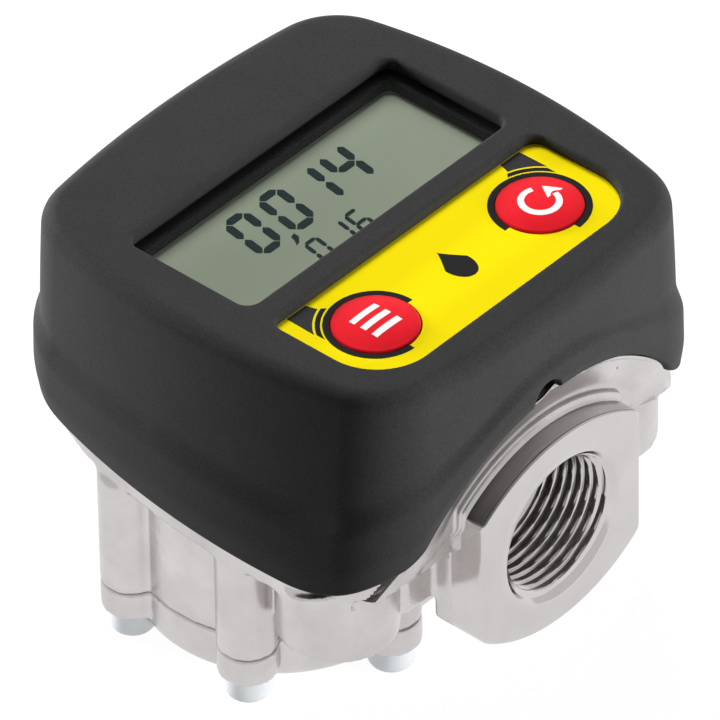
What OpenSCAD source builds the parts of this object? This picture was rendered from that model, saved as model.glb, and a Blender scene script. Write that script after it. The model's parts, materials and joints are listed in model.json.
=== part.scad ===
/* [Ports] */
// Height of the port axis above the surface that the meter stands on
axis_h = 38.5; // [38:0.5:41]
// Distance between the two port faces
port_span = 114; // [113:1:124]
// Crest diameter of the one inch pipe thread
thread_minor_d = 30.291; // [26:0.1:31]
// Root diameter of the one inch pipe thread
thread_major_d = 33.249; // [31.5:0.1:34]
// Distance from one thread groove to the next
thread_pitch = 2.309; // [1.8:0.05:2.4]
// Grooves in each port
thread_turns = 7; // [4:1:8]
// Width across the flats of the port plate
plate_af = 49.4; // [44:0.2:50]
// Height of the port plate at its middle
plate_h = 48.8; // [44:0.2:50]
// Radius of the curved top and bottom of the port plate
plate_arc_r = 39.5; // [36:0.5:46]
// Depth of the polished rim of the port plate
plate_rim = 5; // [3:0.5:6]
// Depth of the whole port block
block_depth = 14; // [12:0.5:16]
// Diameter of the passage behind the thread
passage_d = 20; // [14:0.5:20]
// Plain wall behind the last groove
plain_run = 5; // [4:0.5:6]

/* [Measuring chamber] */
// Distance between the two rotor shafts
shaft_span = 40; // [38:0.5:41]
// How far the chamber sits behind the middle
chamber_y = 4.3; // [0:0.1:5]
// Gap between a gear's longest radius and the chamber's wall
lobe_gap = 0.3; // [0.2:0.1:0.5]
// How far a gear's radius swells and shrinks
gear_swell = 4; // [2:0.1:4]
// Teeth round one gear
gear_teeth = 26; // [20:2:30]
// Wall round the chamber
chamber_wall = 7.2; // [6:0.1:7.6]
// Height of the chamber
chamber_h = 29; // [24:0.5:31]
// Metal over the chamber
deck_t = 9; // [8:0.5:10]
// Diameter of the gear shafts
shaft_d = 8; // [6:0.5:9]
// Wall of the bush in each gear
bush_wall = 2; // [1.5:0.1:3]

/* [Lid] */
// Height of the parting face between body and lid
parting_h = 13.5; // [12.5:0.1:14.5]
// Thickness of the lid's screw ears
ear_t = 7; // [5:0.5:8]
// Radius of the screw ears
ear_r = 6.6; // [6:0.1:7]
// Clearance of the bowl over the standing surface
bowl_lift = 1.5; // [1:0.1:3]
// Rounding of the bowl's lower edge
bowl_round = 5; // [3:0.5:8]
// Thread diameter of the lid screws
lid_screw_d = 6; // [5:0.5:6]
// Diameter of the domed screw heads
lid_head_d = 10.4; // [9:0.2:12]
// Rounding of the domed heads
lid_head_round = 2.5; // [1.5:0.1:4]

/* [Head] */
// Half width of the boot under its top edge
top_a = 54.2; // [53.6:0.1:55]
// Half depth of the boot under its top edge
top_b = 54.4; // [54:0.1:55]
// Radius of the corners of the head's plan
corner_r = 17; // [15.5:0.5:18]
// How far the head's left and right sides bow out past their corners
bow_a = 4.1; // [3.5:0.1:4.5]
// How far the head's front and back bow out past their corners
bow_b = 2.3; // [2:0.1:3]
// How far the head sits in front of the middle
head_shift = 1; // [0:0.1:1.4]
// How far the boot's skirt stands out past its top
skirt_out = 3.4; // [3:0.1:3.8]
// Height of the head above the port axis
head_h = 57.6; // [56:0.2:62]
// Height of the boot's lower edge above the port axis, at the middle of the sides
edge_h = 7; // [6.4:0.2:8]
// Rise of the boot's lower edge from front to back along the sides, in degrees
edge_tilt = 6.4; // [5:0.2:7]
// Rise of the boot's lower edge round the corners, in degrees
corner_tilt = 21; // [16:1:24]
// Radius of the arch over each port
arch_r = 50; // [49:0.5:51]
// Height of the arch's crown above the port axis
arch_crown = 34; // [32:0.2:35]
// Wall of the rubber boot
boot_t = 2.3; // [2:0.1:2.6]
// Rounding of the boot's top edge
boot_round = 4; // [3:0.5:6]
// Height of the boot's thicker band over its lower edge
band_h = 14; // [10:0.5:16]
// Thickness of the body's flange
flange_t = 5.4; // [4.4:0.1:6]

/* [Face] */
// Width of the boot's top beside the display opening
rim_side = 13.7; // [13:0.1:16]
// Front edge of the display opening
window_front = -7.5; // [-9:0.5:-6]
// Back edge of the display opening
window_back = 26.5; // [22:0.5:30]
// Back edge of the opening over the keypad
keypad_back = -13.7; // [-15:0.1:-13]
// Front edge of the opening over the keypad
keypad_front = -44.6; // [-46:0.2:-43]
// Radius of the front corners over the keypad
keypad_corner = 13; // [8:0.5:14]
// Distance of each button's middle from the side of the keypad
button_in = 15.4; // [14:0.2:18]
// Place of the buttons, front to back
button_y = -28.9; // [-31:0.1:-28]
// Diameter of the buttons
button_d = 18.7; // [14:0.1:19]
// Travel of the buttons
button_travel = 1; // [0.5:0.1:1.4]

/* [Electronics] */
// Depth of the display glass
lcd_l = 40; // [36:0.5:41]
// Depth of the display under the face
lcd_drop = 4.1; // [3.8:0.1:5]
// Diameter of a battery
cell_d = 10.3; // [10:0.1:11]
// Length of a battery
cell_len = 44; // [42:0.5:46]
// Thickness of the circuit board
board_t = 1.6; // [1:0.1:2]
// Wall of the electronics case
case_wall = 2; // [1.6:0.1:2.6]

/* [Hidden] */
$fn = 64;

// Overrun of every cut past the face that it opens
over = 1;
// Gap between pieces that only sit beside each other
sit_gap = 0.3;
// Radial clearance of a running fit
run_gap = 0.05;
// Radial clearance of a free hole round a screw
hole_gap = 0.25;
// Thickness of the thin slices that a blended form is stretched over
slice = 0.02;

// Ports
port_y = port_span / 2;
thread_r = thread_minor_d / 2;
root_r = thread_major_d / 2;
mouth_depth = thread_pitch / 2;
mouth_share = 0.8;
mouth_r = root_r + mouth_depth * mouth_share;
crest_w = thread_pitch / 4;
thread_start = 2 * mouth_depth + crest_w;
thread_end = thread_start + thread_turns * thread_pitch + plain_run;
plate_arc_drop = plate_arc_r - plate_h / 2;
neck_share = 0.43;
neck_r = plate_h * neck_share;
neck_end = chamber_wall;

// Measuring chamber
lobe_x = shaft_span / 2;
gear_gap = 0.3;
gear_mean_r = lobe_x - gear_gap / 2;
chamber_r = gear_mean_r + gear_swell + lobe_gap;
wall_r = chamber_r + chamber_wall;
waist_half = wall_r - chamber_wall / 4;
chamber_top = parting_h + chamber_h;
deck_top = chamber_top + deck_t;
shaft_seat_share = 0.5;
shaft_seat = deck_t * shaft_seat_share;
lid_seat_share = 0.8;
lid_shaft_seat = ear_t * lid_seat_share;
washer_t = 0.7;
washer_proud = 0.1;
washer_w = 2;
gear_low = parting_h + washer_proud + run_gap;
gear_h = chamber_h - washer_proud - 3 * run_gap;
gear_steps = 6;
tooth_depth = 1;
tooth_share = [0.5, 0, 0, 0.5, 1, 1];
bush_r = shaft_d / 2 + bush_wall;
magnet_d = 4;
magnet_t = 3;
magnet_r = (bush_r + gear_mean_r) / 2;

// Lid and its screws
ear_out = 1.3;
ear_pitch_r = wall_r + ear_out;
ear_angles = [30, -30, 87, -87];
seat_h = parting_h - ear_t;
lid_screw_bite = 15;
lid_screw_len = ear_t + lid_screw_bite;
seal_w = 2;
seal_t = 1.2;
seal_share = 0.36;
seal_r = chamber_r + seal_share * chamber_wall;

// Flange, arch walls and corner bosses of the body
edge_mid = axis_h + edge_h;
arch_h = axis_h + arch_crown - arch_r;
flange_in = 2.8;
boss_in = 13.2;
boss_x = top_a - boss_in;
boss_y = 31;
boss_r = 13;
boss_drop = 14;
boss_low = axis_h - boss_drop;
arch_wall_in = 2.4;
arch_wall_y = top_b - arch_wall_in;
arch_back = 2.2;
arch_lip = 0.9;
valley_depth = 6;
web_t = 4;
web_drop = 10;
web_low = axis_h - web_drop;
pillar_r = 5.2;
island_x = boss_x + pillar_r - sit_gap;
island_y = boss_y + pillar_r + sit_gap;
island_corner = 12;

// Head
head_top = axis_h + head_h;
label_t = 0.35;
plate_t = 2.3;
face_h = head_top - plate_t - label_t;
round_low = head_top - boot_round;
arc_steps = 6;
notch_r = 4.2;
// Outline of the head's plan: side, corner and end are arcs that run into each other
corner_x = top_a - bow_a - corner_r;
corner_y = top_b - bow_b - corner_r;
side_r = (pow(top_a - corner_x, 2) + pow(corner_y, 2) - pow(corner_r, 2)) / (2 * bow_a);
end_r = (pow(top_b - corner_y, 2) + pow(corner_x, 2) - pow(corner_r, 2)) / (2 * bow_b);
side_turn = atan2(corner_y, corner_x - top_a + side_r);
end_turn = atan2(corner_x, corner_y - top_b + end_r);
wall_out = 1.6;
front_share = 0.3;
edge_turn = 30;
arch_lip_in = 0.9;
arch_lip_y = top_b - arch_lip_in;

// Electronics case and cover
cover_t = 2.5;
case_in = boot_t + 2 * sit_gap;
case_a = top_a - case_in;
case_b = arch_wall_y - valley_depth - arch_back - sit_gap - head_shift;
split_drop = 10;
split_h = face_h - split_drop;
gasket_w = 2;
gasket_t = 1;
case_screw_d = 4;
case_screw_len = 12;
case_screw_x = boss_x;
case_screw_y = boss_y;
screw_head_share = 0.55;
post_in = 5;
cover_post_x = case_a - post_in;
cover_post_y = 14;
cover_post_r = 3.6;
cover_screw_d = 2.6;
cover_screw_len = 16;

// Display
window_w = 2 * (top_a - rim_side);
keypad_more = 0.5;
keypad_w = window_w + 2 * keypad_more;
button_x = keypad_w / 2 - button_in;
lcd_w = window_w - 2 * keypad_more;
lcd_h = face_h - lcd_drop;
lcd_t = 2.2;
lcd_more = 6.5;
lcd_front = window_front - lcd_more;
lcd_back = lcd_front + lcd_l;
frame_w = 1.5;
frame_low_share = 0.2;
view_in = 2;
view_x = window_w / 2 - view_in;
view_back = window_back - view_in;
view_front = window_front - view_in;
pane_t = 1.2;
pane_low = face_h - pane_t - sit_gap;
pane_lip = 1;

// Board and what it carries
board_drop = 6;
board_h = lcd_h - lcd_t - board_drop;
board_in = 1;
board_x = cover_post_x - cover_post_r - board_in;
board_y = case_b - case_wall - 3 * board_in;
board_corner = 11;
board_post_x = 11;
board_post_y = board_y - 3 * board_in;
board_post_r = 3;
board_screw_d = 2.2;
board_screw_len = 8;
strip_w = 2.4;
switch_w = 6.2;
switch_h = 5;
switch_cap_d = 3.4;
contact_t = 0.6;
contact_w = 9;
cell_gap = 1.2;
cell_h = board_h - board_t - 2 * cell_gap - cell_d / 2;
case_floor = cell_h - cell_d / 2 - cell_gap;
case_low = case_floor - case_wall;
holder_wall = 1.4;
holder_side = cell_d / 2 + holder_wall + sit_gap;
contact_room = 0.8;
holder_len = cell_len + 2 * (contact_t + contact_room);
tip_share = 0.4;
tip_d = cell_d * tip_share;

// Pick-up over the right gear
stem_x = lobe_x + magnet_r;
stem_r = 4;
stem_wall = 1;
stem_share = 0.25;
stem_low = chamber_top + deck_t * stem_share;
cell_x = stem_x - stem_r - holder_side - sit_gap;
reed_d = 3;
reed_len = 16;

// Buttons
ring_gap = 0.25;
button_lip = 1;
button_lip_t = 1;
button_dome = 1.2;
stem_d = 3.6;
button_under = face_h - cover_t - run_gap - button_lip_t;
rim_share = 0.3;
button_rim = face_h + label_t + button_travel * rim_share;

// How far the boot's wall stands out past its top at a height
function taper(h) = wall_out * (round_low - h) / (round_low - edge_mid);

// One quarter of the head's plan, grown by amounts in width and depth
function quarter(ga, gb) = let (g = (ga + gb) / 2) concat(
    [for (i = [0 : arc_steps]) let (t = side_turn * i / arc_steps)
        [top_a - side_r + ga + side_r * cos(t) + g * (cos(t) - 1), (side_r + g) * sin(t) + (gb - g) * i / arc_steps]],
    [for (i = [1 : 2 * arc_steps - 1]) let (t = side_turn + (90 - end_turn - side_turn) * i / (2 * arc_steps))
        [corner_x + ga - g + (corner_r + g) * cos(t), corner_y + gb - g + (corner_r + g) * sin(t)]],
    [for (i = [arc_steps : -1 : 0]) let (t = end_turn * i / arc_steps)
        [(end_r + g) * sin(t) + (ga - g) * i / arc_steps, top_b - end_r + gb + end_r * cos(t) + g * (cos(t) - 1)]]);

function flipped(points, x, y) = [for (p = points) [x * p[0], y * p[1]]];
function backwards(points) = [for (i = [len(points) - 2 : -1 : 1]) points[i]];

module plan(ga, gb) {
    q = quarter(ga, gb);
    translate([0, -head_shift]) polygon(concat(q, flipped(backwards(q), -1, 1), flipped(q, -1, -1),
        flipped(backwards(q), 1, -1)));
}

module prism(ga, gb, low, high) {
    translate([0, 0, low]) linear_extrude(high - low) plan(ga, gb);
}

// The head's tapered form between two heights, set in from its wall
module head_form(inset, low, high) {
    hull() {
        prism(taper(low) - inset, front_share * taper(low) - inset, low, low + slice);
        prism(taper(high) - inset, front_share * taper(high) - inset, high - slice, high);
    }
}

// Line of the boot's lower edge seen from the side, raised by a lift, with all that lies under it
module under_line(lift) {
    reach = port_span + top_a;
    mid = edge_mid + lift;
    side_rise = edge_turn * tan(edge_tilt);
    end_rise = (reach - edge_turn) * tan(corner_tilt);
    rotate([90, 0, 90]) translate([0, 0, -reach]) linear_extrude(2 * reach) polygon([
        [-reach, -reach], [reach, -reach], [reach, mid + side_rise + end_rise], [edge_turn, mid + side_rise],
        [-edge_turn, mid - side_rise], [-reach, mid - side_rise + end_rise]]);
}

// All that lies under the boot's lower edge: the line of its sides and the arches, which open outwards
module under_edge(lift) {
    reach = port_span + top_a;
    under_line(lift);
    translate([0, reach, arch_h]) rotate([90, 0, 0]) cylinder(r = arch_r + lift, h = 2 * reach, $fn = 96);
    for (side = [-1, 1]) translate([0, side * arch_lip_y, arch_h]) rotate([-side * 90, 0, 0])
        cylinder(r1 = arch_r + lift, r2 = 2 * arch_r + lift, h = arch_r, $fn = 96);
}

module rounded_rect(x0, x1, y0, y1, r) {
    translate([x0 + r, y0]) square([x1 - x0 - 2 * r, y1 - y0]);
    translate([x0, y0 + r]) square([x1 - x0, y1 - y0 - 2 * r]);
    for (x = [x0 + r, x1 - r], y = [y0 + r, y1 - r]) translate([x, y]) circle(r);
}

module block(x0, x1, y0, y1, low, high, r) {
    translate([0, 0, low]) linear_extrude(high - low) rounded_rect(x0, x1, y0, y1, r);
}

module both_x(x) {
    for (side = [-1, 1]) translate([side * x, 0, 0]) children();
}

module four(x, y) {
    for (mx = [0, 1], my = [0, 1]) mirror([mx, 0, 0]) mirror([0, my, 0]) translate([x, y, 0]) children();
}

// Places round the chamber, which sits behind the middle
module at_chamber() {
    translate([0, chamber_y, 0]) children();
}

module at_ears() {
    for (side = [-1, 1], a = ear_angles)
        translate([side * (lobe_x + ear_pitch_r * cos(a)), chamber_y + ear_pitch_r * sin(a), 0]) children();
}

// Outline that the body's lower wall and the lid share
module casting_outline() {
    translate([0, chamber_y]) {
        both_x(lobe_x) circle(wall_r, $fn = 128);
        square([shaft_span, 2 * waist_half], center = true);
    }
    at_ears() circle(ear_r);
}

module axis_cylinder(r, y0, y1) {
    translate([0, y1, axis_h]) rotate([90, 0, 0]) cylinder(r = r, h = y1 - y0);
}

// Outline of the port plate, seen along the port axis
module plate_outline() {
    intersection() {
        square([plate_af, plate_h], center = true);
        translate([0, -plate_arc_drop]) circle(plate_arc_r, $fn = 128);
        translate([0, plate_arc_drop]) circle(plate_arc_r, $fn = 128);
    }
}

// Extrudes an outline along the front port's axis, between two depths behind the port face
module along_port(depth_from, depth_to) {
    translate([0, depth_to - port_y, axis_h]) rotate([90, 0, 0]) linear_extrude(depth_to - depth_from)
        children();
}

module port_block() {
    along_port(0, plate_rim) plate_outline();
    along_port(plate_rim - slice, block_depth) intersection() {
        plate_outline();
        translate([-plate_af, -plate_h]) square([2 * plate_af, plate_h + neck_r / 2]);
    }
    along_port(plate_rim - slice, port_y - neck_end) circle(neck_r);
}

// Threaded bore with a chamfered mouth, from the port face inwards
module thread_cut() {
    grooves = [for (i = [0 : thread_turns - 1])
        let (start = thread_start + crest_w + i * thread_pitch, run = thread_pitch - crest_w)
        each [[thread_r, start], [root_r, start + run / 2], [thread_r, start + run]]];
    translate([0, -port_y, axis_h]) rotate([-90, 0, 0]) rotate_extrude($fn = 96)
        polygon(concat([[0, -over], [mouth_r + over, -over], [mouth_r, 0], [root_r, mouth_depth],
            [root_r, 2 * mouth_depth], [thread_r, thread_start]], grooves,
            [[thread_r, thread_end], [0, thread_end]]));
}

// Arched end wall over a port: a thin lip under the boot's edge and a slope down to a valley
module arch_wall() {
    intersection() {
        translate([0, -arch_wall_y, arch_h]) rotate([-90, 0, 0]) rotate_extrude($fn = 128)
            polygon([[0, valley_depth], [plate_arc_r, valley_depth], [plate_arc_r + over, valley_depth * 0.94],
                [arch_r - 0.4 * valley_depth, valley_depth * 0.4], [arch_r - arch_lip, 0], [arch_r - run_gap, 0],
                [arch_r - run_gap, valley_depth + arch_back], [0, valley_depth + arch_back]]);
        difference() {
            prism(skirt_out - flange_in, front_share * skirt_out - flange_in, axis_h - plate_h / 2, head_top);
            under_line(-flange_t);
        }
    }
}

module meter_body() {
    color("gainsboro") difference() {
        union() {
            translate([0, 0, parting_h]) linear_extrude(chamber_top - parting_h) casting_outline();
            // flange under the boot's lower edge
            intersection() {
                prism(skirt_out - flange_in, front_share * skirt_out - flange_in, boss_low, head_top);
                difference() {
                    under_line(-sit_gap);
                    under_line(-flange_t);
                }
            }
            block(-island_x, island_x, -island_y, island_y, chamber_top - over, deck_top, island_corner);
            for (turn = [0, 180]) rotate(turn) {
                arch_wall();
                port_block();
            }
            // bosses under the front corners, pillars under the case
            intersection() {
                both_x(boss_x) translate([0, -boss_y, boss_low]) cylinder(r = boss_r, h = deck_top - boss_low);
                under_line(-flange_t / 2);
            }
            four(case_screw_x, case_screw_y) translate([0, 0, edge_mid - flange_t])
                cylinder(r = pillar_r, h = case_low - edge_mid + flange_t);
            for (turn = [0, 180]) rotate(turn) both_x(plate_af / 2 + web_t)
                translate([0, block_depth - port_y + web_t / 2, (web_low + edge_mid) / 2])
                cube([2 * web_t + over, web_t, edge_mid - web_low], center = true);
        }
        at_chamber() translate([0, 0, parting_h - over]) linear_extrude(chamber_h + over) {
            both_x(lobe_x) circle(chamber_r, $fn = 128);
        }
        for (turn = [0, 180]) rotate(turn) thread_cut();
        axis_cylinder(passage_d / 2, -port_y + thread_end, chamber_y - chamber_r / 4);
        axis_cylinder(passage_d / 2, chamber_y + chamber_r / 4, port_y - thread_end);
        at_chamber() both_x(lobe_x) translate([0, 0, chamber_top - over]) cylinder(d = shaft_d, h = shaft_seat + over);
        at_ears() translate([0, 0, parting_h - over]) cylinder(d = lid_screw_d, h = lid_screw_len - ear_t + 2 * over);
        four(case_screw_x, case_screw_y) translate([0, 0, case_floor - case_screw_len - over])
            cylinder(d = case_screw_d, h = case_screw_len + 2 * over);
        translate([stem_x, chamber_y, stem_low]) cylinder(r = stem_r + sit_gap, h = head_top);
    }
}

// Round end of the lid's bowl
module bowl_end() {
    rotate_extrude($fn = 96) {
        translate([0, bowl_lift]) square([wall_r - bowl_round, seat_h + over - bowl_lift]);
        translate([0, bowl_lift + bowl_round]) square([wall_r, ear_t - over + seat_h - bowl_lift - bowl_round]);
        translate([wall_r - bowl_round, bowl_lift + bowl_round]) circle(bowl_round);
    }
}

module bottom_lid() {
    color("gainsboro") difference() {
        union() {
            translate([0, 0, seat_h]) linear_extrude(ear_t) casting_outline();
            at_chamber() {
                both_x(lobe_x) bowl_end();
                translate([0, 0, (bowl_lift + seat_h + over) / 2])
                    cube([shaft_span, 2 * (waist_half - bowl_round), seat_h + over - bowl_lift], center = true);
                for (side = [-1, 1]) translate([0, side * (waist_half - bowl_round), bowl_lift + bowl_round])
                    rotate([0, 90, 0]) cylinder(r = bowl_round, h = shaft_span, center = true);
            }
        }
        at_chamber() both_x(lobe_x) translate([0, 0, parting_h - lid_shaft_seat]) {
            cylinder(d = shaft_d, h = lid_shaft_seat + over);
            translate([0, 0, lid_shaft_seat - washer_t + washer_proud])
                cylinder(r = shaft_d / 2 + washer_w, h = washer_t + over);
        }
        at_ears() {
            translate([0, 0, seat_h - over]) cylinder(d = lid_screw_d + 2 * hole_gap, h = ear_t + 2 * over);
            translate([0, 0, -over]) cylinder(d = lid_head_d + 2 * sit_gap, h = seat_h + over);
        }
        translate([0, 0, parting_h - seal_t]) linear_extrude(seal_t + over) seal_outline();
    }
}

module seal_loop(r) {
    both_x(lobe_x) circle(r, $fn = 96);
    square([shaft_span, 2 * r - chamber_wall / 4], center = true);
}

module seal_outline() {
    translate([0, chamber_y]) difference() {
        seal_loop(seal_r + seal_w / 2);
        seal_loop(seal_r - seal_w / 2);
    }
}

module lid_seal() {
    color("dimgray") translate([0, 0, parting_h - seal_t]) linear_extrude(seal_t) seal_outline();
}

module lid_screws() {
    color("aliceblue") at_ears() {
        translate([0, 0, seat_h - lid_head_round]) cylinder(d = lid_screw_d, h = lid_screw_len + lid_head_round);
        rotate_extrude() {
            square([lid_head_d / 2 - lid_head_round, seat_h]);
            translate([0, lid_head_round]) square([lid_head_d / 2, seat_h - lid_head_round]);
            translate([lid_head_d / 2 - lid_head_round, lid_head_round]) intersection() {
                circle(lid_head_round);
                translate([0, -lid_head_round]) square(lid_head_round);
            }
        }
    }
}

// Toothed oval with its long axis at a turn from X
module gear_outline(turn) {
    polygon([for (i = [0 : gear_teeth * gear_steps - 1])
        let (t = 360 * i / (gear_teeth * gear_steps),
            r = gear_mean_r + gear_swell * cos(2 * (t - turn)) - tooth_depth * tooth_share[i % gear_steps])
        [r * cos(t), r * sin(t)]]);
}

module oval_gear(side, turn) {
    color("dimgray") at_chamber() translate([side * lobe_x, 0, 0]) difference() {
        translate([0, 0, gear_low]) linear_extrude(gear_h) gear_outline(turn);
        translate([0, 0, gear_low - over]) cylinder(r = bush_r, h = gear_h + 2 * over);
        at_magnets() cylinder(d = magnet_d, h = magnet_t + over);
    }
}

module at_magnets() {
    for (turn = [0, 180]) rotate(turn) translate([magnet_r, 0, gear_low + gear_h - magnet_t]) children();
}

module gear_magnets() {
    color("silver") at_chamber() translate([lobe_x, 0, 0]) at_magnets() cylinder(d = magnet_d, h = magnet_t);
}

module gear_bush(side) {
    color("peru") at_chamber() translate([side * lobe_x, 0, gear_low]) difference() {
        cylinder(r = bush_r, h = gear_h);
        translate([0, 0, -over]) cylinder(r = shaft_d / 2 + run_gap, h = gear_h + 2 * over);
    }
}

module gear_pin(side) {
    color("silver") at_chamber() translate([side * lobe_x, 0, parting_h - lid_shaft_seat])
        cylinder(d = shaft_d, h = lid_shaft_seat + chamber_h + shaft_seat);
}

module thrust_washers() {
    color("goldenrod") at_chamber() both_x(lobe_x) translate([0, 0, parting_h + washer_proud - washer_t])
        difference() {
            cylinder(r = shaft_d / 2 + washer_w, h = washer_t);
            translate([0, 0, -over]) cylinder(d = shaft_d, h = washer_t + 2 * over);
        }
}

module electronics_case() {
    color("darkslategray") difference() {
        prism(-case_in, case_b - top_b, case_low, split_h - gasket_t);
        difference() {
            prism(-case_in - case_wall, case_b - top_b - case_wall, case_floor, split_h);
            axis_cylinder(neck_r + sit_gap + case_wall, -port_y, port_y);
            four(cover_post_x, cover_post_y) translate([0, 0, case_low]) {
                cylinder(r = cover_post_r, h = split_h);
                translate([0, -cover_post_r, 0]) cube([2 * cover_post_r, 2 * cover_post_r, split_h]);
            }
            four(board_post_x, board_post_y) translate([0, 0, case_low])
                cylinder(r = board_post_r, h = board_h - board_t - case_low);
        }
        // the floor keeps clear of the necks of the ports
        axis_cylinder(neck_r + sit_gap, -port_y, port_y);
        translate([stem_x, chamber_y, case_low - over]) cylinder(r = stem_r, h = case_wall + 2 * over);
        four(case_screw_x, case_screw_y) translate([0, 0, case_low - over])
            cylinder(d = case_screw_d + 2 * hole_gap, h = case_wall + 2 * over);
        four(cover_post_x, cover_post_y) translate([0, 0, face_h - cover_screw_len - over])
            cylinder(d = cover_screw_d, h = cover_screw_len);
        four(board_post_x, board_post_y) translate([0, 0, board_h - board_screw_len - over])
            cylinder(d = board_screw_d, h = board_screw_len);
    }
}

module case_gasket() {
    color("black") translate([0, 0, split_h - gasket_t]) linear_extrude(gasket_t) difference() {
        plan(-case_in, case_b - top_b);
        plan(-case_in - gasket_w, case_b - top_b - gasket_w);
    }
}

// Screw with a round socket head that sits on a face at a height
module screw(d, len, face) {
    head_r = d * 0.9;
    difference() {
        union() {
            translate([0, 0, face - len]) cylinder(d = d, h = len + slice);
            translate([0, 0, face]) cylinder(r = head_r, h = d * screw_head_share);
        }
        translate([0, 0, face + d * screw_head_share / 2]) cylinder(d = d * 0.9, h = d, $fn = 6);
    }
}

module case_screws() {
    color("silver") four(case_screw_x, case_screw_y) screw(case_screw_d, case_screw_len, case_floor);
}

module cover_screws() {
    color("silver") four(cover_post_x, cover_post_y)
        screw(cover_screw_d, cover_screw_len - cover_screw_d, face_h - cover_screw_d * screw_head_share - sit_gap);
}

module board_screws() {
    color("silver") four(board_post_x, board_post_y) screw(board_screw_d, board_screw_len, board_h);
}

module display_cover() {
    inset = boot_t + sit_gap;
    color("black") difference() {
        head_form(inset, split_h, face_h);
        difference() {
            head_form(inset + case_wall, split_h - over, face_h - cover_t);
            four(cover_post_x, cover_post_y) translate([0, 0, split_h]) cylinder(r = cover_post_r, h = face_h - split_h);
        }
        // rebate of the pane, then the opening over the display
        block(-window_w / 2 - pane_lip, window_w / 2 + pane_lip, window_front - pane_lip, window_back + pane_lip,
            pane_low, face_h + over, pane_lip * 4);
        block(-view_x, view_x, window_front + pane_lip, view_back, split_h, face_h + over, pane_lip * 2);
        both_x(button_x) translate([0, button_y, split_h]) cylinder(d = button_d + 2 * ring_gap, h = face_h);
        four(cover_post_x, cover_post_y) {
            translate([0, 0, split_h - over]) cylinder(d = cover_screw_d + 2 * hole_gap, h = face_h);
            translate([0, 0, face_h - cover_screw_d * screw_head_share - sit_gap])
                cylinder(r = cover_screw_d * 0.9 + hole_gap, h = face_h);
        }
    }
}

module display_window() {
    color("lightcyan", 0.4) block(-window_w / 2 - pane_lip, window_w / 2 + pane_lip, window_front - pane_lip,
        window_back + pane_lip, pane_low, pane_low + pane_t, pane_lip * 4);
}

module lcd_panel() {
    color("darkseagreen") translate([-lcd_w / 2, lcd_front, lcd_h - lcd_t]) cube([lcd_w, lcd_l, lcd_t]);
}

module lcd_frame() {
    top = face_h - cover_t;
    color("black") difference() {
        block(-lcd_w / 2 - frame_w, lcd_w / 2 + frame_w, lcd_front - frame_w, lcd_back + frame_w,
            lcd_h - lcd_t, top, frame_w);
        translate([-lcd_w / 2, lcd_front, lcd_h - lcd_t - over]) cube([lcd_w, lcd_l, lcd_t + over]);
        block(-view_x, view_x, view_front, view_back, lcd_h - over, top + over, pane_lip * 2);
    }
}

module lcd_connectors() {
    color("dimgray") for (y = [lcd_front + strip_w, lcd_back - 2 * strip_w])
        translate([-lcd_w / 2 + 2 * strip_w, y, board_h]) cube([lcd_w - 4 * strip_w, strip_w, lcd_h - lcd_t - board_h]);
}

module circuit_board() {
    color("darkgreen") difference() {
        block(-board_x, board_x, -board_y, board_y, board_h - board_t, board_h, board_corner);
        four(board_post_x, board_post_y) translate([0, 0, board_h - board_t - over])
            cylinder(d = board_screw_d, h = board_t + 2 * over);
        translate([stem_x, chamber_y, board_h - board_t - over]) cylinder(r = stem_r, h = board_t + 2 * over);
    }
}

module sensor_stem() {
    color("black") translate([stem_x, chamber_y, stem_low + sit_gap]) difference() {
        cylinder(r = stem_r, h = board_h - stem_low - sit_gap);
        translate([0, 0, stem_wall]) cylinder(r = stem_r - stem_wall, h = board_h);
    }
}

module reed_sensor() {
    color("lightblue") translate([stem_x, chamber_y, stem_low + sit_gap + stem_wall]) {
        cylinder(d = reed_d, h = reed_len);
        cylinder(d = reed_d / 3, h = board_h - stem_low - stem_wall - sit_gap);
    }
}

module battery_cells() {
    color("steelblue") both_x(cell_x) translate([0, 0, cell_h]) rotate([90, 0, 0]) {
        cylinder(d = cell_d, h = cell_len, center = true);
        cylinder(d = tip_d, h = cell_len / 2 + contact_t);
    }
}

module battery_holder() {
    color("black") both_x(cell_x) difference() {
        block(-holder_side, holder_side, -holder_len / 2 - holder_wall, holder_len / 2 + holder_wall, case_floor,
            cell_h, holder_wall);
        translate([0, 0, cell_h]) rotate([90, 0, 0])
            cylinder(d = cell_d + 2 * run_gap, h = holder_len, center = true);
    }
}

module battery_contacts() {
    color("gold") both_x(cell_x) for (side = [-1, 1])
        translate([-contact_w / 2, side * (holder_len / 2 + contact_t) - contact_t / 2 - side * 1.5 * contact_t,
            cell_h + sit_gap]) cube([contact_w, contact_t, board_h - board_t - cell_h - sit_gap]);
}

// Outline of the keypad: small corners at the back and wide ones at the front
module keypad_plan() {
    difference() {
        rounded_rect(-keypad_w / 2, keypad_w / 2, keypad_front, keypad_back, keypad_corner / 4);
        for (side = [0, 1]) mirror([side, 0]) translate([-keypad_w / 2, keypad_front]) difference() {
            translate([-over, -over]) square(keypad_corner + over);
            translate([keypad_corner, keypad_corner]) circle(keypad_corner);
        }
    }
}

module keypad_label() {
    color("gold") translate([0, 0, face_h]) linear_extrude(label_t) difference() {
        keypad_plan();
        both_x(button_x) translate([0, button_y]) circle(d = button_d + 2 * ring_gap);
    }
}

module key_switches() {
    color("dimgray") both_x(button_x) translate([0, button_y, board_h]) {
        translate([-switch_w / 2, -switch_w / 2, 0]) cube([switch_w, switch_w, switch_h * 0.8]);
        cylinder(d = switch_cap_d, h = switch_h);
    }
}

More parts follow.
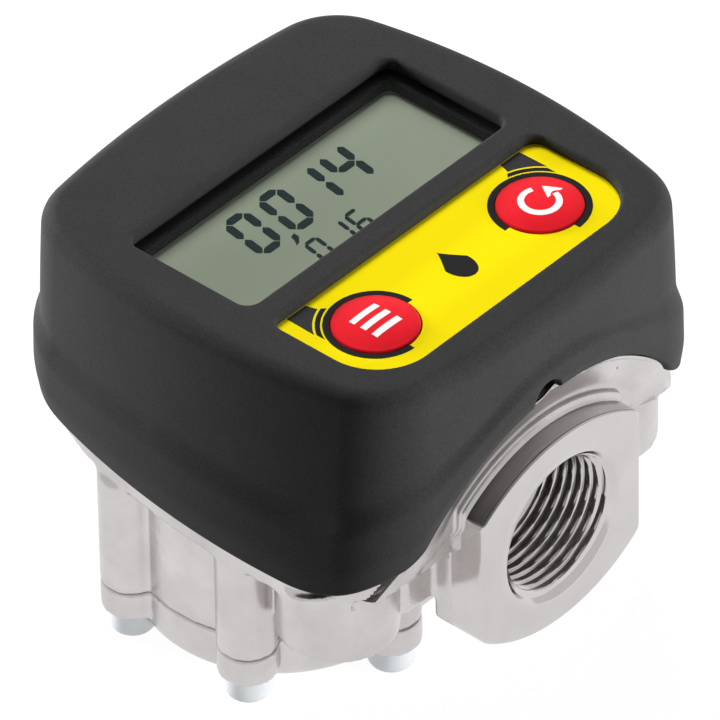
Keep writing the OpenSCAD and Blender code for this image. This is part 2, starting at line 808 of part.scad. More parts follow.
module button_cap(side) {
    dome_r = (pow(button_d / 2, 2) + pow(button_dome, 2)) / (2 * button_dome);
    stem_low_h = board_h + switch_h + button_travel + sit_gap;
    color("crimson") translate([side * button_x, button_y, 0]) {
        translate([0, 0, button_under]) cylinder(d = button_d + 2 * (ring_gap + button_lip), h = button_lip_t);
        translate([0, 0, button_under]) cylinder(d = button_d, h = button_rim - button_under);
        intersection() {
            translate([0, 0, button_rim + button_dome - dome_r]) sphere(dome_r, $fn = 128);
            translate([0, 0, button_rim - slice]) cylinder(d = button_d, h = 2 * button_dome);
        }
        translate([0, 0, stem_low_h]) cylinder(d = stem_d, h = button_under - stem_low_h + slice);
    }
}

// Outer form of the boot: rounded top edge, tapered wall and a thicker band over the lower edge
module boot_form() {
    hull() for (turn = [0 : 22.5 : 90]) {
        inset = boot_round * (1 - sin(turn));
        h = head_top - boot_round * (1 - cos(turn));
        prism(-inset, -inset, h - slice, h);
    }
    head_form(0, axis_h, round_low);
    intersection() {
        head_form(wall_out - skirt_out, axis_h, round_low);
        under_edge(band_h);
    }
}

module protective_boot() {
    color([0.22, 0.22, 0.23]) difference() {
        boot_form();
        head_form(boot_t, axis_h - over, face_h + label_t);
        under_edge(0);
        block(-window_w / 2, window_w / 2, window_front, window_back, face_h - over, head_top + over,
            keypad_corner / 4);
        translate([0, 0, face_h - over]) linear_extrude(head_top - face_h + 2 * over) keypad_plan();
        translate([0, -port_y, axis_h + arch_crown - notch_r / 4]) rotate([-90, 0, 0])
            cylinder(r = notch_r, h = port_y - top_b + 2 * boot_t);
    }
}

meter_body();
bottom_lid();
lid_seal();
lid_screws();
oval_gear(-1, 90);  // left_oval_gear
oval_gear(1, 0);  // right_oval_gear
gear_pin(-1);  // left_gear_pin
gear_pin(1);  // right_gear_pin
gear_bush(-1);  // left_gear_bush
gear_bush(1);  // right_gear_bush
thrust_washers();
gear_magnets();
electronics_case();
case_gasket();
case_screws();
display_cover();
cover_screws();
circuit_board();
board_screws();
reed_sensor();
sensor_stem();
battery_cells();
battery_holder();
battery_contacts();
lcd_panel();
lcd_connectors();
lcd_frame();
display_window();
keypad_label();
key_switches();
button_cap(-1);  // total_button
button_cap(1);  // reset_button
protective_boot();
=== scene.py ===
"""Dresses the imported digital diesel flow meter: rubber boot, castings, ports, display, keypad and stage."""

import json

import bmesh
import bpy
import numpy as np
from bpy.props import FloatProperty, FloatVectorProperty, IntProperty, PointerProperty
from mathutils import Matrix, Vector


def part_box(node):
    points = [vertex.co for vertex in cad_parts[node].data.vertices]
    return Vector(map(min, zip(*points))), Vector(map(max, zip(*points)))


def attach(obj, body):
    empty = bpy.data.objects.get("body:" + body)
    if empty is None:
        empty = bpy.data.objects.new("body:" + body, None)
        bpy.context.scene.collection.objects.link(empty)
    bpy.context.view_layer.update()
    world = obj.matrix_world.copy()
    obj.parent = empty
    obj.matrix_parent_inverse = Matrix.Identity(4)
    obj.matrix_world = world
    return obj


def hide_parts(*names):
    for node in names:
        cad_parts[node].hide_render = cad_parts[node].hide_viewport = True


bl_info = {
    "name": "Digital diesel flow meter",
    "version": (1, 0, 0),
    "blender": (4, 5, 0),
    "location": "3D View > Sidebar > Flow meter",
    "description": "Dresses the packed flow meter with its boot, castings, ports, display and keypad",
    "category": "Object",
}

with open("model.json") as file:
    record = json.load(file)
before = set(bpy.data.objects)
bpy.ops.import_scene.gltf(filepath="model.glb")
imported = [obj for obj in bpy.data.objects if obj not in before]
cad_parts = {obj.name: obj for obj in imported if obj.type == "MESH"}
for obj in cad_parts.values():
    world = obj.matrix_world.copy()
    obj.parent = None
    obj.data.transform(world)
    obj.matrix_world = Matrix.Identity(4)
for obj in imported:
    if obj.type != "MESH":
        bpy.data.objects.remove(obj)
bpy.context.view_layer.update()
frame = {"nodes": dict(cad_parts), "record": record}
MM = 0.001
X, Y, Z = 0, 1, 2
LOW, HIGH = 0, 1


def side_of(node, end, axis):
    """A coordinate of a node's lowest or highest corner in millimetres, to a thousandth."""
    return round(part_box(node)[end][axis] / MM, 3)


def opening(node, lip):
    """Middle and half sizes in plan of an opening: a node's box less a lip all round."""
    x0, x1, y0, y1 = [side_of(node, end, axis) for axis in (X, Y) for end in (LOW, HIGH)]
    sizes = (x0 + x1) / 2, (y0 + y1) / 2, (x1 - x0) / 2 - lip, (y1 - y0) / 2 - lip
    return [round(v, 3) for v in sizes]


def joint_place(name):
    """Where a joint stands in plan, in millimetres."""
    joint = next(j for j in frame["record"]["behaviour"]["joints"] if j["name"] == name)
    return [round(v / MM, 3) for v in joint["pos_m"][:2]]


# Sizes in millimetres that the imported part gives
PORT = frame["record"]["mounts"][0]
AXIS_H = round(PORT["pos_m"][Z] / MM, 3)
CREST_R = PORT["dims"]["r_mm"]
PORT_Y = side_of("meter_body", HIGH, Y)
HEAD_TOP = side_of("protective_boot", HIGH, Z)
FACE_H = side_of("display_cover", HIGH, Z)
LABEL_TOP = side_of("keypad_label", HIGH, Z)
LCD_H = side_of("lcd_panel", HIGH, Z)
WINDOW = opening("display_window", 1.0)
KEYPAD = opening("keypad_label", 0.0)
BUTTON_X, BUTTON_Y = joint_place("reset_press")
CHAMBER_X, CHAMBER_Y = joint_place("right_rotor_turn")
CHAMBER_LOW = side_of("bottom_lid", HIGH, Z)

# The measuring chamber: radius of its two circles and depth
CHAMBER_R = 24.15
CHAMBER_TOP = CHAMBER_LOW + 29.0

# The head's plan: half width and depth, corner radius, how far its sides and ends bow out, and how far it
# stands to the front
TOP_A, TOP_B = 54.2, 54.4
CORNER_R = 17.0
BOW_A, BOW_B = 4.1, 2.3
HEAD_SHIFT = 1.0

# The port's plate: arcs of a radius about lines above and under the port axis, and flat sides
PLATE_DROP, PLATE_R, PLATE_HALF = 15.1, 39.5, 24.7

# The boot's lower edge over the port axis: sides, arches over the ports and the notch over the front one
EDGE_H, EDGE_CLIMB = 7.0, 0.118
FRONT_BEND, FRONT_BEND_Y = 0.0205, 28
REAR_BEND, REAR_BEND_Y = 0.02, 34
ARCH_R, ARCH_DROP = 50, 16
NOTCH_X, NOTCH_H, NOTCH_R = -3.8, 36.6, 4.3

# The boot: past which distance from the middle a port arches its edges, wall, gap over the display cover,
# share of its growth that the ends take, and the top's two openings with the bar between them
ARCH_FROM = 30
BOOT_WALL = 2.3
FACE_GAP = 0.05
END_SHARE = 0.3
BAR_Y = -10.6
SMALL_ROUND, LARGE_ROUND = 3.25, 13.0

# Buttons, and how far print and segments stand in and out of what carries them
BUTTON_R = 9.35
CAP_RISE, CAP_RIM_H = 1.2, 94.1
PRINT_SINK, PRINT_RISE = 0.02, 0.03
SEGMENT_RISE = 0.05


# Meshes

def strip_faces(rows, cols, close_rows=False, close_cols=True):
    """Quads of a grid whose point (i, j) has the number i * cols + j, joined to the next row and column."""
    i = np.arange(rows if close_rows else rows - 1)
    j = np.arange(cols if close_cols else cols - 1)
    i, j = [a.ravel() for a in np.meshgrid(i, j, indexing="ij")]
    up, on = (i + 1) % rows, (j + 1) % cols
    return np.stack([i * cols + j, i * cols + on, up * cols + on, up * cols + j], 1)


def make_piece(name, parts, material, body="housing", sharp=40.0):
    """One mesh object from grids of points in millimetres: doubles merged, faces turned outwards, edges
    sharper than an angle kept sharp."""
    points, faces, first = [], [], 0
    for grid, quads in parts:
        grid = np.asarray(grid, float).reshape(-1, 3)
        quads = quads if isinstance(quads, list) else quads.tolist()
        points.append(grid * MM)
        faces += [[k + first for k in face] for face in quads]
        first += len(grid)
    mesh = bpy.data.meshes.new(name)
    mesh.from_pydata(np.concatenate(points).tolist(), [], faces)
    work = bmesh.new()
    work.from_mesh(mesh)
    bmesh.ops.remove_doubles(work, verts=work.verts, dist=2e-7)
    bmesh.ops.dissolve_degenerate(work, edges=work.edges, dist=1e-7)
    bmesh.ops.recalc_face_normals(work, faces=work.faces)
    work.to_mesh(mesh)
    work.free()
    return add_object(name, mesh, material, body, sharp)


def add_object(name, mesh, material, body, sharp):
    """Links a finished mesh as a piece that rides on a body and takes the given material."""
    mesh.shade_smooth()
    mesh.set_sharp_from_angle(angle=np.radians(sharp))
    piece = bpy.data.objects.new(name, mesh)
    bpy.context.scene.collection.objects.link(piece)
    mesh.materials.append(material)
    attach(piece, body)
    return piece


def lathe(profile, x, y, turns=96):
    """A profile of radius and height carried round a vertical line at (x, y)."""
    r, h = np.asarray(profile, float).T
    t = np.linspace(0, 2 * np.pi, turns, endpoint=False)
    across, along = x + np.outer(r, np.cos(t)), y + np.outer(r, np.sin(t))
    return np.stack([across, along, np.outer(h, np.ones(turns))], -1), strip_faces(len(r), turns)


def ribbon(left, right, low, high):
    """A closed flat strip between two lines of plan points, from a height to a height, where a height is a
    number or a function of x and y."""
    left, right = np.asarray(left, float), np.asarray(right, float)

    def lift(line, height):
        level = height(line[:, 0], line[:, 1]) if callable(height) else np.full(len(line), height)
        return np.column_stack([line, level])

    loop = np.stack([lift(left, low), lift(right, low), lift(right, high), lift(left, high)], 1)
    n = len(left)
    caps = np.array([[0, 1, 2, 3], [4 * n - 1, 4 * n - 2, 4 * n - 3, 4 * n - 4]])
    return loop, np.concatenate([strip_faces(n, 4), caps])


def bar(x0, x1, y0, y1, low, high, steps=14):
    """A level bar as a ribbon of short steps, so that it can follow a curved surface."""
    x = np.linspace(x0, x1, steps)
    rear, front = np.full(steps, y1), np.full(steps, y0)
    return ribbon(np.column_stack([x, rear]), np.column_stack([x, front]), low, high)


def arc(x, y, r, start, stop, steps=48):
    """Points on a circle between two angles in degrees."""
    t = np.radians(np.linspace(start, stop, steps))
    return np.column_stack([x + r * np.cos(t), y + r * np.sin(t)])


def smooth_step(a, b, v):
    """0 before a, 1 after b, and 3 t^2 - 2 t^3 between."""
    t = np.clip((v - a) / (b - a), 0, 1)
    return t * t * (3 - 2 * t)


def smooth_max(a, b, k):
    """The larger of two values, blended over a width k."""
    h = np.clip(0.5 + 0.5 * (a - b) / k, 0, 1)
    return b + (a - b) * h + k * h * (1 - h)


# Shaders

class Value:
    """A shader socket on which Python arithmetic adds Math nodes."""

    def __init__(self, shader, socket):
        self.shader, self.socket = shader, socket

    def _math(self, operation, *values):
        return self.shader.node("ShaderNodeMath", {"operation": operation}, values)

    def __add__(self, other):
        return self._math("ADD", self, other)

    def __radd__(self, other):
        return self._math("ADD", other, self)

    def __sub__(self, other):
        return self._math("SUBTRACT", self, other)

    def __rsub__(self, other):
        return self._math("SUBTRACT", other, self)

    def __mul__(self, other):
        return self._math("MULTIPLY", self, other)

    def __rmul__(self, other):
        return self._math("MULTIPLY", other, self)

    def __pow__(self, other):
        return self._math("POWER", self, other)

    def between(self, low, high):
        """0 under low, 1 over high, straight between."""
        sockets = {"Value": self, "From Min": low, "From Max": high}
        return self.shader.node("ShaderNodeMapRange", {"clamp": True}, sockets)


class Shader:
    """A material and its node tree. Every node comes from node()."""

    def __init__(self, name):
        self.material = bpy.data.materials.new(name)
        self.material.use_nodes = True
        self.tree = self.material.node_tree
        self.tree.nodes.clear()
        self.place = self.node("ShaderNodeTexCoord", output="Object")

    def node(self, kind, settings=None, inputs=(), output=0):
        """Adds a node: settings first, then the values or links of its sockets, by number or name."""
        made = self.tree.nodes.new(kind)
        for key, value in (settings or {}).items():
            setattr(made, key, value)
        for key, value in inputs.items() if isinstance(inputs, dict) else enumerate(inputs):
            if isinstance(value, Value):
                self.tree.links.new(value.socket, made.inputs[key])
            else:
                made.inputs[key].default_value = value
        return Value(self, made.outputs[output])

    def coordinates(self):
        """The place on the object as three values, in metres."""
        parts = self.node("ShaderNodeSeparateXYZ", {}, (self.place,))
        return [Value(self, parts.socket.node.outputs[axis]) for axis in (X, Y, Z)]

    def noise(self, scale, detail=3.0, rough=0.55, stretch=(1, 1, 1)):
        """Noise at a scale in features a metre, stretched along the axes."""
        place = self.node("ShaderNodeMapping", {}, {"Vector": self.place, "Scale": stretch})
        sockets = {"Vector": place, "Scale": scale, "Detail": detail, "Roughness": rough}
        return self.node("ShaderNodeTexNoise", {}, sockets)

    def mix(self, share, a, b):
        """Colour a where share is 0 and b where it is 1."""
        return self.node("ShaderNodeMix", {"data_type": "RGBA"}, {0: share, 6: a, 7: b}, 2)

    def bump(self, height, depth, strength=1.0, under=None):
        """Normal of a relief whose height runs from 0 to depth, in metres."""
        sockets = {"Height": height, "Distance": depth, "Strength": strength}
        if under is not None:
            sockets["Normal"] = under
        return self.node("ShaderNodeBump", {}, sockets)

    def surface(self, **sockets):
        """Ends the tree with a Principled surface; names are the sockets' with spaces as underscores."""
        named = {key.replace("_", " "): value for key, value in sockets.items()}
        self.finish(self.node("ShaderNodeBsdfPrincipled", {}, named))
        return self.material

    def finish(self, shade):
        """Links a closed shader to the material's output."""
        out = self.tree.nodes.new("ShaderNodeOutputMaterial")
        self.tree.links.new(shade.socket, out.inputs["Surface"])


def rgba(colour, gain=1.0):
    """A linear colour with full alpha, made lighter or darker."""
    return (*[min(1.0, c * gain) for c in colour[:3]], 1.0)


def rubber_finish(colours):
    """Matte moulded rubber: fine grain of dark and light points, faint cloudy wear and slow change of
    gloss."""
    s = Shader("boot_rubber_finish")
    cloud, fine, patch = s.noise(90, 4), s.noise(2100, 3, 0.75), s.noise(22, 3)
    base = s.mix(cloud.between(0.35, 0.75), rgba(colours.rubber, 0.9), rgba(colours.rubber, 1.14))
    dark = s.mix(0.5, base, rgba(colours.rubber, 0.7))
    light = s.mix(0.5, base, rgba(colours.rubber, 1.3))
    base = s.mix(fine.between(0.38, 0.64), dark, light)
    grain = s.bump(fine, 0.00004, 0.7)
    swell = s.bump(patch, 0.0005, 0.10, grain)
    return s.surface(Base_Color=base, Roughness=0.50 + 0.12 * cloud, Normal=swell, Specular_IOR_Level=0.05)


def painted_arch_darkness(s, rise, full, fall, end):
    """Share of painted darkness, which stands in for shade in the channel and a dark reflection on the rim's
    top, in a band of distance from the line under the port axis, strongest to the left of each port and
    fading past its crown."""
    x, y, z = s.coordinates()
    up = z - (AXIS_H - PLATE_DROP) * MM
    reach = (x * x + up * up) ** 0.5
    band = reach.between(rise * MM, full * MM) * (1.0 - reach.between(fall * MM, end * MM))
    near_port = (y * y).between((44 * MM) ** 2, (46 * MM) ** 2)
    over_flats = z.between((AXIS_H + 13) * MM, (AXIS_H + 15) * MM)
    left = 1.0 - (x + 0.004 * s.noise(140, 3)).between(-22 * MM, 12 * MM)
    # Painted light: this band only darkens the colour, the real plating is even
    return band * (near_port * over_flats) * (0.12 + 0.80 * left)


def cast_finish(colours):
    """Satin nickel plate on a die casting: orange-peel relief, fine grit, smudges in the gloss, and painted
    shade that darkens the channel round a port."""
    s = Shader("cast_nickel_finish")
    peel, grit, smudge = s.noise(420, 3, 0.5), s.noise(2400, 3, 0.65), s.noise(60, 5, 0.6)
    base = s.mix(smudge.between(0.3, 0.75), rgba(colours.nickel, 1.05), rgba(colours.nickel, 0.82))
    base = s.mix(grit.between(0.68, 0.8) * 0.4, base, rgba(colours.nickel, 0.6))
    # Painted shade: the nickel is darkened in the channel round each port, where shade falls
    base = s.mix(painted_arch_darkness(s, 41.1, 41.8, 42.6, 45.0) * 0.8, base, rgba(colours.nickel, 0.25))
    rough = 0.17 + 0.16 * smudge + 0.10 * grit
    relief = s.bump(grit, 0.00002, 0.5, s.bump(peel, 0.00016, 0.55))
    return s.surface(Base_Color=base, Metallic=1.0, Roughness=rough, Normal=relief)


def turned_finish(colours):
    """Machined nickel: fine rings about the port axis on the face and down the thread, and a painted dark
    reflection on the top of the plate's rim."""
    s = Shader("turned_nickel_finish")
    x, _, height = s.coordinates()
    z = height - AXIS_H * MM
    radius = (x * x + z * z) ** 0.5
    rings = s.node("ShaderNodeMath", {"operation": "SINE"}, (radius * 14000.0,))
    scratch, smudge = s.noise(900, 4, 0.7, (1, 0.2, 1)), s.noise(70, 4)
    base = s.mix(smudge, rgba(colours.nickel, 1.04), rgba(colours.nickel, 0.86))
    # Painted reflection: the rim's top is darkened as if it mirrored dark surroundings, most strongly to the
    # left
    base = s.mix(painted_arch_darkness(s, 39.0, 39.3, 60, 61), base, rgba(colours.nickel, 0.10))
    relief = s.bump(rings * 0.5 + scratch, 0.000012, 0.5)
    return s.surface(Base_Color=base, Metallic=1.0, Roughness=0.08 + 0.13 * smudge, Normal=relief)


def plain_metal(name, colour, rough, grain=1500, metallic=1.0):
    """A small metal part: fine brushed grain, slight tarnish."""
    s = Shader(name)
    brush, tarnish = s.noise(grain, 3, 0.6, (1, 1, 0.25)), s.noise(180, 4)
    base = s.mix(tarnish, rgba(colour, 1.05), rgba(colour, 0.85))
    relief = s.bump(brush, 0.00003, 0.4)
    return s.surface(Base_Color=base, Metallic=metallic, Roughness=rough + 0.15 * tarnish, Normal=relief)


def plain_polymer(name, colour, rough, grain=1800, coat=0.0, gloss=0.5):
    """A moulded polymer part: fine spark-eroded grain and slight mottling."""
    s = Shader(name)
    grit, mottle = s.noise(grain, 2, 0.6), s.noise(120, 3)
    base = s.mix(mottle, rgba(colour, 1.08), rgba(colour, 0.9))
    return s.surface(Base_Color=base, Roughness=rough + 0.12 * mottle, Coat_Weight=coat,
                     Specular_IOR_Level=gloss, Normal=s.bump(grit, 0.00003, 0.4))


def label_finish(colours):
    """Printed film: even colour, faint weave of the print and a light embossed grain under the gloss."""
    s = Shader("label_film_finish")
    cloud, grain = s.noise(45, 2), s.noise(3200, 2, 0.6)
    base = s.mix(cloud, rgba(colours.label, 1.0), rgba(colours.label, 0.93))
    return s.surface(Base_Color=base, Roughness=0.34 + 0.1 * cloud, Specular_IOR_Level=0.05,
                     Normal=s.bump(grain, 0.000012, 0.4))


def lcd_finish(colours):
    """Reflective display glass: grey-green, a slow change of shade and the faint mottling of its
    diffuser."""
    s = Shader("lcd_glass_finish")
    cloud, speck = s.noise(30, 2), s.noise(5200, 2, 0.7)
    base = s.mix(cloud.between(0.3, 0.7), rgba(colours.display, 0.93), rgba(colours.display, 1.06))
    base = s.mix(speck.between(0.55, 0.8) * 0.25, base, rgba(colours.display, 0.8))
    return s.surface(Base_Color=base, Roughness=0.42 + 0.1 * speck, Specular_IOR_Level=0.08,
                     Normal=s.bump(speck, 0.00001, 0.2))


def pane_finish():
    """Clear pane: see-through with a thin gloss, fine wipe marks in it."""
    s = Shader("clear_pane_finish")
    wipe = s.noise(160, 4, 0.6, (1, 0.15, 1))
    return s.surface(Base_Color=(0.02, 0.025, 0.022, 1), Roughness=0.05 + 0.08 * wipe,
                     Alpha=0.05 + 0.03 * wipe, Specular_IOR_Level=0.5)


# Settings

class FlowMeterSizes(bpy.types.PropertyGroup):
    """Sizes of the dressed pieces that the CAD leaves free."""

    def length(name, text, value):
        return FloatProperty(name=name, description=text, default=value * MM, unit="LENGTH",
                             subtype="DISTANCE", precision=5)

    band_out: length("Band", "How far the boot's band swells past its wall", 1.42)
    wall_swell: length("Taper", "How far the boot's wall stands out at its foot", 2.0)
    lip_depth: length("Lip", "Depth of the rounded lower lip of the boot", 1.5)
    top_round: length("Top edge", "Rounding of the boot's top edge", 4.0)
    opening_round: length("Opening edge", "Rounding of the edges round the display and the keypad", 0.9)
    cast_voxel: length("Casting detail", "Finest detail of the softened castings", 0.5)
    thread_pitch: length("Thread pitch", "Distance from one groove of the port thread to the next", 2.309)
    digit_w: length("Digit width", "Width of a large digit", 7.6)
    digit_h: length("Digit height", "Height of a large digit", 14.2)
    stroke: length("Stroke", "Width of a segment of a large digit", 2.15)
    cast_rounds: IntProperty(name="Casting softness", description="Smoothing passes over the castings",
                             default=10, min=0, max=40)
    columns: IntProperty(name="Thread columns", description="Steps round the threaded ports",
                         default=224, min=96, max=360)
    del length


class FlowMeterColours(bpy.types.PropertyGroup):
    """Colours of the finishes."""

    def colour(name, text, value):
        return FloatVectorProperty(name=name, description=text, default=value, subtype="COLOR",
                                   min=0, max=1, size=3)

    rubber: colour("Rubber", "Boot", (0.034, 0.034, 0.0345))
    nickel: colour("Nickel", "Castings and ports", (0.625, 0.597, 0.591))
    zinc: colour("Zinc", "Screw heads", (0.74, 0.765, 0.79))
    label: colour("Label", "Keypad film", (0.93, 0.76, 0.004))
    button: colour("Buttons", "Button caps", (0.72, 0.012, 0.022))
    display: colour("Display", "Display glass", (0.345, 0.395, 0.30))
    digit: colour("Digits", "Switched-on segments", (0.02, 0.035, 0.035))
    ink: colour("Ink", "Dark print of the keypad", (0.012, 0.012, 0.012))
    floor: colour("Floor", "Floor and backdrop", (0.90, 0.90, 0.90))
    del colour


# Boot

def head_outline():
    """The head's plan as points and outward directions, anticlockwise from the right. One quarter is three
    arcs that run into each other (side, corner, end), each point its arc's centre plus its radius along the
    direction. The steps grow finer towards the middle of the ends."""
    cx, cy = TOP_A - BOW_A - CORNER_R, TOP_B - BOW_B - CORNER_R
    side_r = ((TOP_A - cx) ** 2 + cy ** 2 - CORNER_R ** 2) / (2 * BOW_A)
    end_r = ((TOP_B - cy) ** 2 + cx ** 2 - CORNER_R ** 2) / (2 * BOW_B)
    side = np.arctan2(cy, cx - TOP_A + side_r)
    end = np.pi / 2 - np.arctan2(cx, cy - TOP_B + end_r)
    fine_half = 9
    last = np.pi / 2 - np.arcsin(fine_half / end_r)
    turn = np.concatenate([np.linspace(0, side, 62)[:-1], np.linspace(side, end, 56)[:-1],
                           np.linspace(end, last, 40)[:-1], np.linspace(last, np.pi / 2, 34)])
    on_side, on_end = turn < side, turn > end
    radius = np.where(on_side, side_r, np.where(on_end, end_r, CORNER_R))
    x0 = np.where(on_side, TOP_A - side_r, np.where(on_end, 0, cx))
    y0 = np.where(on_side, 0, np.where(on_end, TOP_B - end_r, cy))
    nx, ny = np.cos(turn), np.sin(turn)
    quarter = np.stack([x0 + radius * nx, y0 + radius * ny, nx, ny], 1)
    back = quarter[-2:0:-1] * [-1, 1, -1, 1]
    half = np.concatenate([quarter, back, [[-quarter[0, 0], 0, -1, 0]]])
    front = half[-2:0:-1] * [1, -1, 1, -1]
    ring = np.concatenate([half, front])
    ring[:, Y] -= HEAD_SHIFT
    return ring


def side_edge(y):
    """Height of the boot's lower edge along the sides: a line that climbs to the back and bends up past the
    corners with the square of the distance."""
    front = FRONT_BEND * np.maximum(0, -y - FRONT_BEND_Y) ** 2
    rear = REAR_BEND * np.maximum(0, y - REAR_BEND_Y) ** 2
    return EDGE_H + EDGE_CLIMB * y + front + rear


def lower_edge(x, y, notched=True):
    """Height of the boot's lower edge over the port axis: the sides' edge blended with the arch over each
    port, whose radius grows past the ends, and a round notch at the front arch's crown."""
    radius = ARCH_R + np.maximum(0, np.abs(y) - 53.5)
    arch = np.sqrt(np.maximum(0, radius ** 2 - x ** 2)) - ARCH_DROP
    line = smooth_max(side_edge(y), np.where(np.abs(y) > ARCH_FROM, arch, -ARCH_DROP), 3.0)
    notch = NOTCH_H + np.sqrt(np.maximum(0, NOTCH_R ** 2 - (x - NOTCH_X) ** 2))
    in_notch = notched & (y < 0) & (np.abs(x - NOTCH_X) < NOTCH_R)
    return np.where(in_notch, np.maximum(line, notch), line)


def crease(x, y, level):
    """Height of the line where the band meets the wall: above the sides' edge by a band's height that shrinks
    to the back, blended with a wider arch over a port."""
    height, shrink, shrink_y, radius, drop = 19.5, 0.1, 5, 61.4, 18
    line = level + height - shrink * np.maximum(0, y - shrink_y)
    arch = np.sqrt(np.maximum(0, radius ** 2 - x ** 2)) - drop
    return smooth_max(line, np.where(np.abs(y) > ARCH_FROM, arch, 0), 4.0)


def box_reach(box, front_r, back_r, angle, grow):
    """Distance from a rounded box's middle to its outline along an angle: to its side, its end or its corner
    arc."""
    dx, dy = np.cos(angle), np.sin(angle)
    r = np.where(dy < 0, front_r, back_r) + grow
    a, b = box[2] + grow, box[3] + grow
    cx, cy = (a - r) * np.sign(dx), (b - r) * np.sign(dy)
    side = a / np.maximum(np.abs(dx), 1e-9)
    end = b / np.maximum(np.abs(dy), 1e-9)
    along = dx * cx + dy * cy
    corner = along + np.sqrt(np.maximum(0, along ** 2 - cx ** 2 - cy ** 2 + r ** 2))
    return np.where(side * np.abs(dy) <= b - r, side, np.where(end * np.abs(dx) <= a - r, end, corner))


def boot_walls(ring, sizes):
    """The boot's walls as a grid. Columns run round the head's outline. Rows come down the inside, turn round
    the lip, climb the outer wall, whose growth past the outline is a taper plus a band that swells between
    the lip and the crease, and turn over the top edge."""
    x, y, nx, ny = ring.T
    swell, band, lip = sizes.wall_swell / MM, sizes.band_out / MM, sizes.lip_depth / MM
    top_r = sizes.top_round / MM
    # The edge's height is read a little outwards, about where the lip and the crease stand
    lip_x, lip_y = x + nx * 1.7, y + ny * 1.2
    foot, even = lower_edge(lip_x, lip_y), lower_edge(lip_x, lip_y, notched=False)
    least_band = 8
    bend = np.maximum(crease(x + nx * 2, y + ny * 1.6, side_edge(y)), even + least_band)
    shoulder = HEAD_TOP - AXIS_H - top_r

    def taper(h):
        """Growth of the outer wall, which eases off towards the foot."""
        fade, drop = 0.034, 40
        return swell * (1 - np.exp(-fade * np.maximum(0, shoulder - h))) / (1 - np.exp(-fade * drop))

    def straight_taper(h):
        """Growth of the inner wall, as of the CAD part's wall."""
        growth, drop = 1.6, 46.6
        return growth * np.maximum(0, shoulder - h) / drop

    def outer(h):
        t = (h - even) / (bend - even)
        f = (0.30 + 0.70 * smooth_step(-0.1, 0.42, t)) * (1 - smooth_step(0.80, 1.2, t))
        w = np.minimum(taper(h), swell)
        return w + band * f, END_SHARE * w + band * f

    def inner(h):
        w = straight_taper(h)
        return w - BOOT_WALL, END_SHARE * w - BOOT_WALL

    def row(gx, gy, h):
        return np.stack([x + nx * gx, y + ny * gy, AXIS_H + h * np.ones(len(x))], 1)

    rows = []
    inner_top = FACE_H + FACE_GAP - AXIS_H
    lip_top = foot + lip
    for v in np.linspace(1, 0, 9)[:-1]:
        h = lip_top + (inner_top - lip_top) * v
        rows.append(row(*inner(h), h))
    (ix, iy), (ox, oy) = inner(lip_top), outer(lip_top)
    for t in np.linspace(0, np.pi, 13):
        across = (ix + ox) / 2 - (ox - ix) / 2 * np.cos(t)
        along = (iy + oy) / 2 - (oy - iy) / 2 * np.cos(t)
        rows.append(row(across, along, lip_top - lip * np.sin(t) ** 0.8))
    for v in np.linspace(0, 1, 59)[1:]:
        share = 0.75 * v + 0.25 * v * v
        h = lip_top + (shoulder - lip_top) * share
        rows.append(row(*outer(h), h))
    for t in np.linspace(0, np.pi / 2, 11)[1:]:
        back = -top_r * (1 - np.cos(t))
        rows.append(row(back, back, shoulder + top_r * np.sin(t)))
    return np.array(rows)


def top_cell(walls, box, radii, hole_r):
    """One half of the boot's top as a grid, from its columns of the walls. Rows cross from the top edge to an
    opening, turn over its rounded edge, go down its wall and come back inside to the walls' first row."""
    share = np.linspace(0, 1, 161)[1:-1, None]

    def closed(row):
        """A row of the walls, closed by a straight line along the bar."""
        return np.concatenate([row, row[-1] + (row[0] - row[-1]) * share])

    over, under = closed(walls[-1]), closed(walls[0])
    middle = np.array(box[:2])
    angle = np.arctan2(over[:, Y] - middle[Y], over[:, X] - middle[X])
    way = np.stack([np.cos(angle), np.sin(angle)], 1)

    def opening_row(grow, height):
        """The opening's outline, grown outwards, at a height."""
        reach = box_reach(box, *radii, angle, grow)
        return np.column_stack([middle + way * reach[:, None], np.full(len(angle), height)])

    start = opening_row(hole_r, HEAD_TOP)
    rows = [over + (start - over) * v for v in np.linspace(0, 1, 9)]
    for t in np.linspace(0, np.pi / 2, 8)[1:]:
        rows.append(opening_row(hole_r * (1 - np.sin(t)), HEAD_TOP - hole_r * (1 - np.cos(t))))
    foot = opening_row(0, FACE_H + FACE_GAP)
    rows += [rows[-1] + (foot - rows[-1]) * v for v in (0.5, 1)]
    rows += [foot + (under - foot) * v for v in np.linspace(0, 1, 5)[1:]]
    return np.array(rows)


def boot_parts(sizes):
    """The boot as closed grids: its walls, and two cells that close the top round the display and the keypad,
    split along the bar between them."""
    ring = head_outline()
    walls, n = boot_walls(ring, sizes), len(ring)
    off_bar = np.abs(ring[:, Y] - BAR_Y)
    right = np.argmin(off_bar + np.where(ring[:, X] > 0, 0, 99))
    left = np.argmin(off_bar + np.where(ring[:, X] < 0, 0, 99))

    def between(a, b):
        """The walls' columns from one to another, anticlockwise."""
        return walls[:, np.arange(a, b + 1 if b > a else b + n + 1) % n]

    hole_r = sizes.opening_round / MM
    rear = top_cell(between(right, left), WINDOW, (SMALL_ROUND, SMALL_ROUND), hole_r)
    front = top_cell(between(left, right), KEYPAD, (LARGE_ROUND, SMALL_ROUND), hole_r)
    return [(rows, strip_faces(*rows.shape[:2])) for rows in (walls, rear, front)]


class FLOWMETER_OT_boot(bpy.types.Operator):
    """Builds the rubber boot with its swelling band, arches and the two openings of its top"""
    bl_idname = "flowmeter.boot"
    bl_label = "Rubber boot"

    def execute(self, context):
        scene = context.scene
        parts, rubber = boot_parts(scene.flow_meter_sizes), rubber_finish(scene.flow_meter_colours)
        piece = make_piece("boot_shell", parts, rubber, sharp=50)
        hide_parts("protective_boot")
        return {"FINISHED"}


# Castings

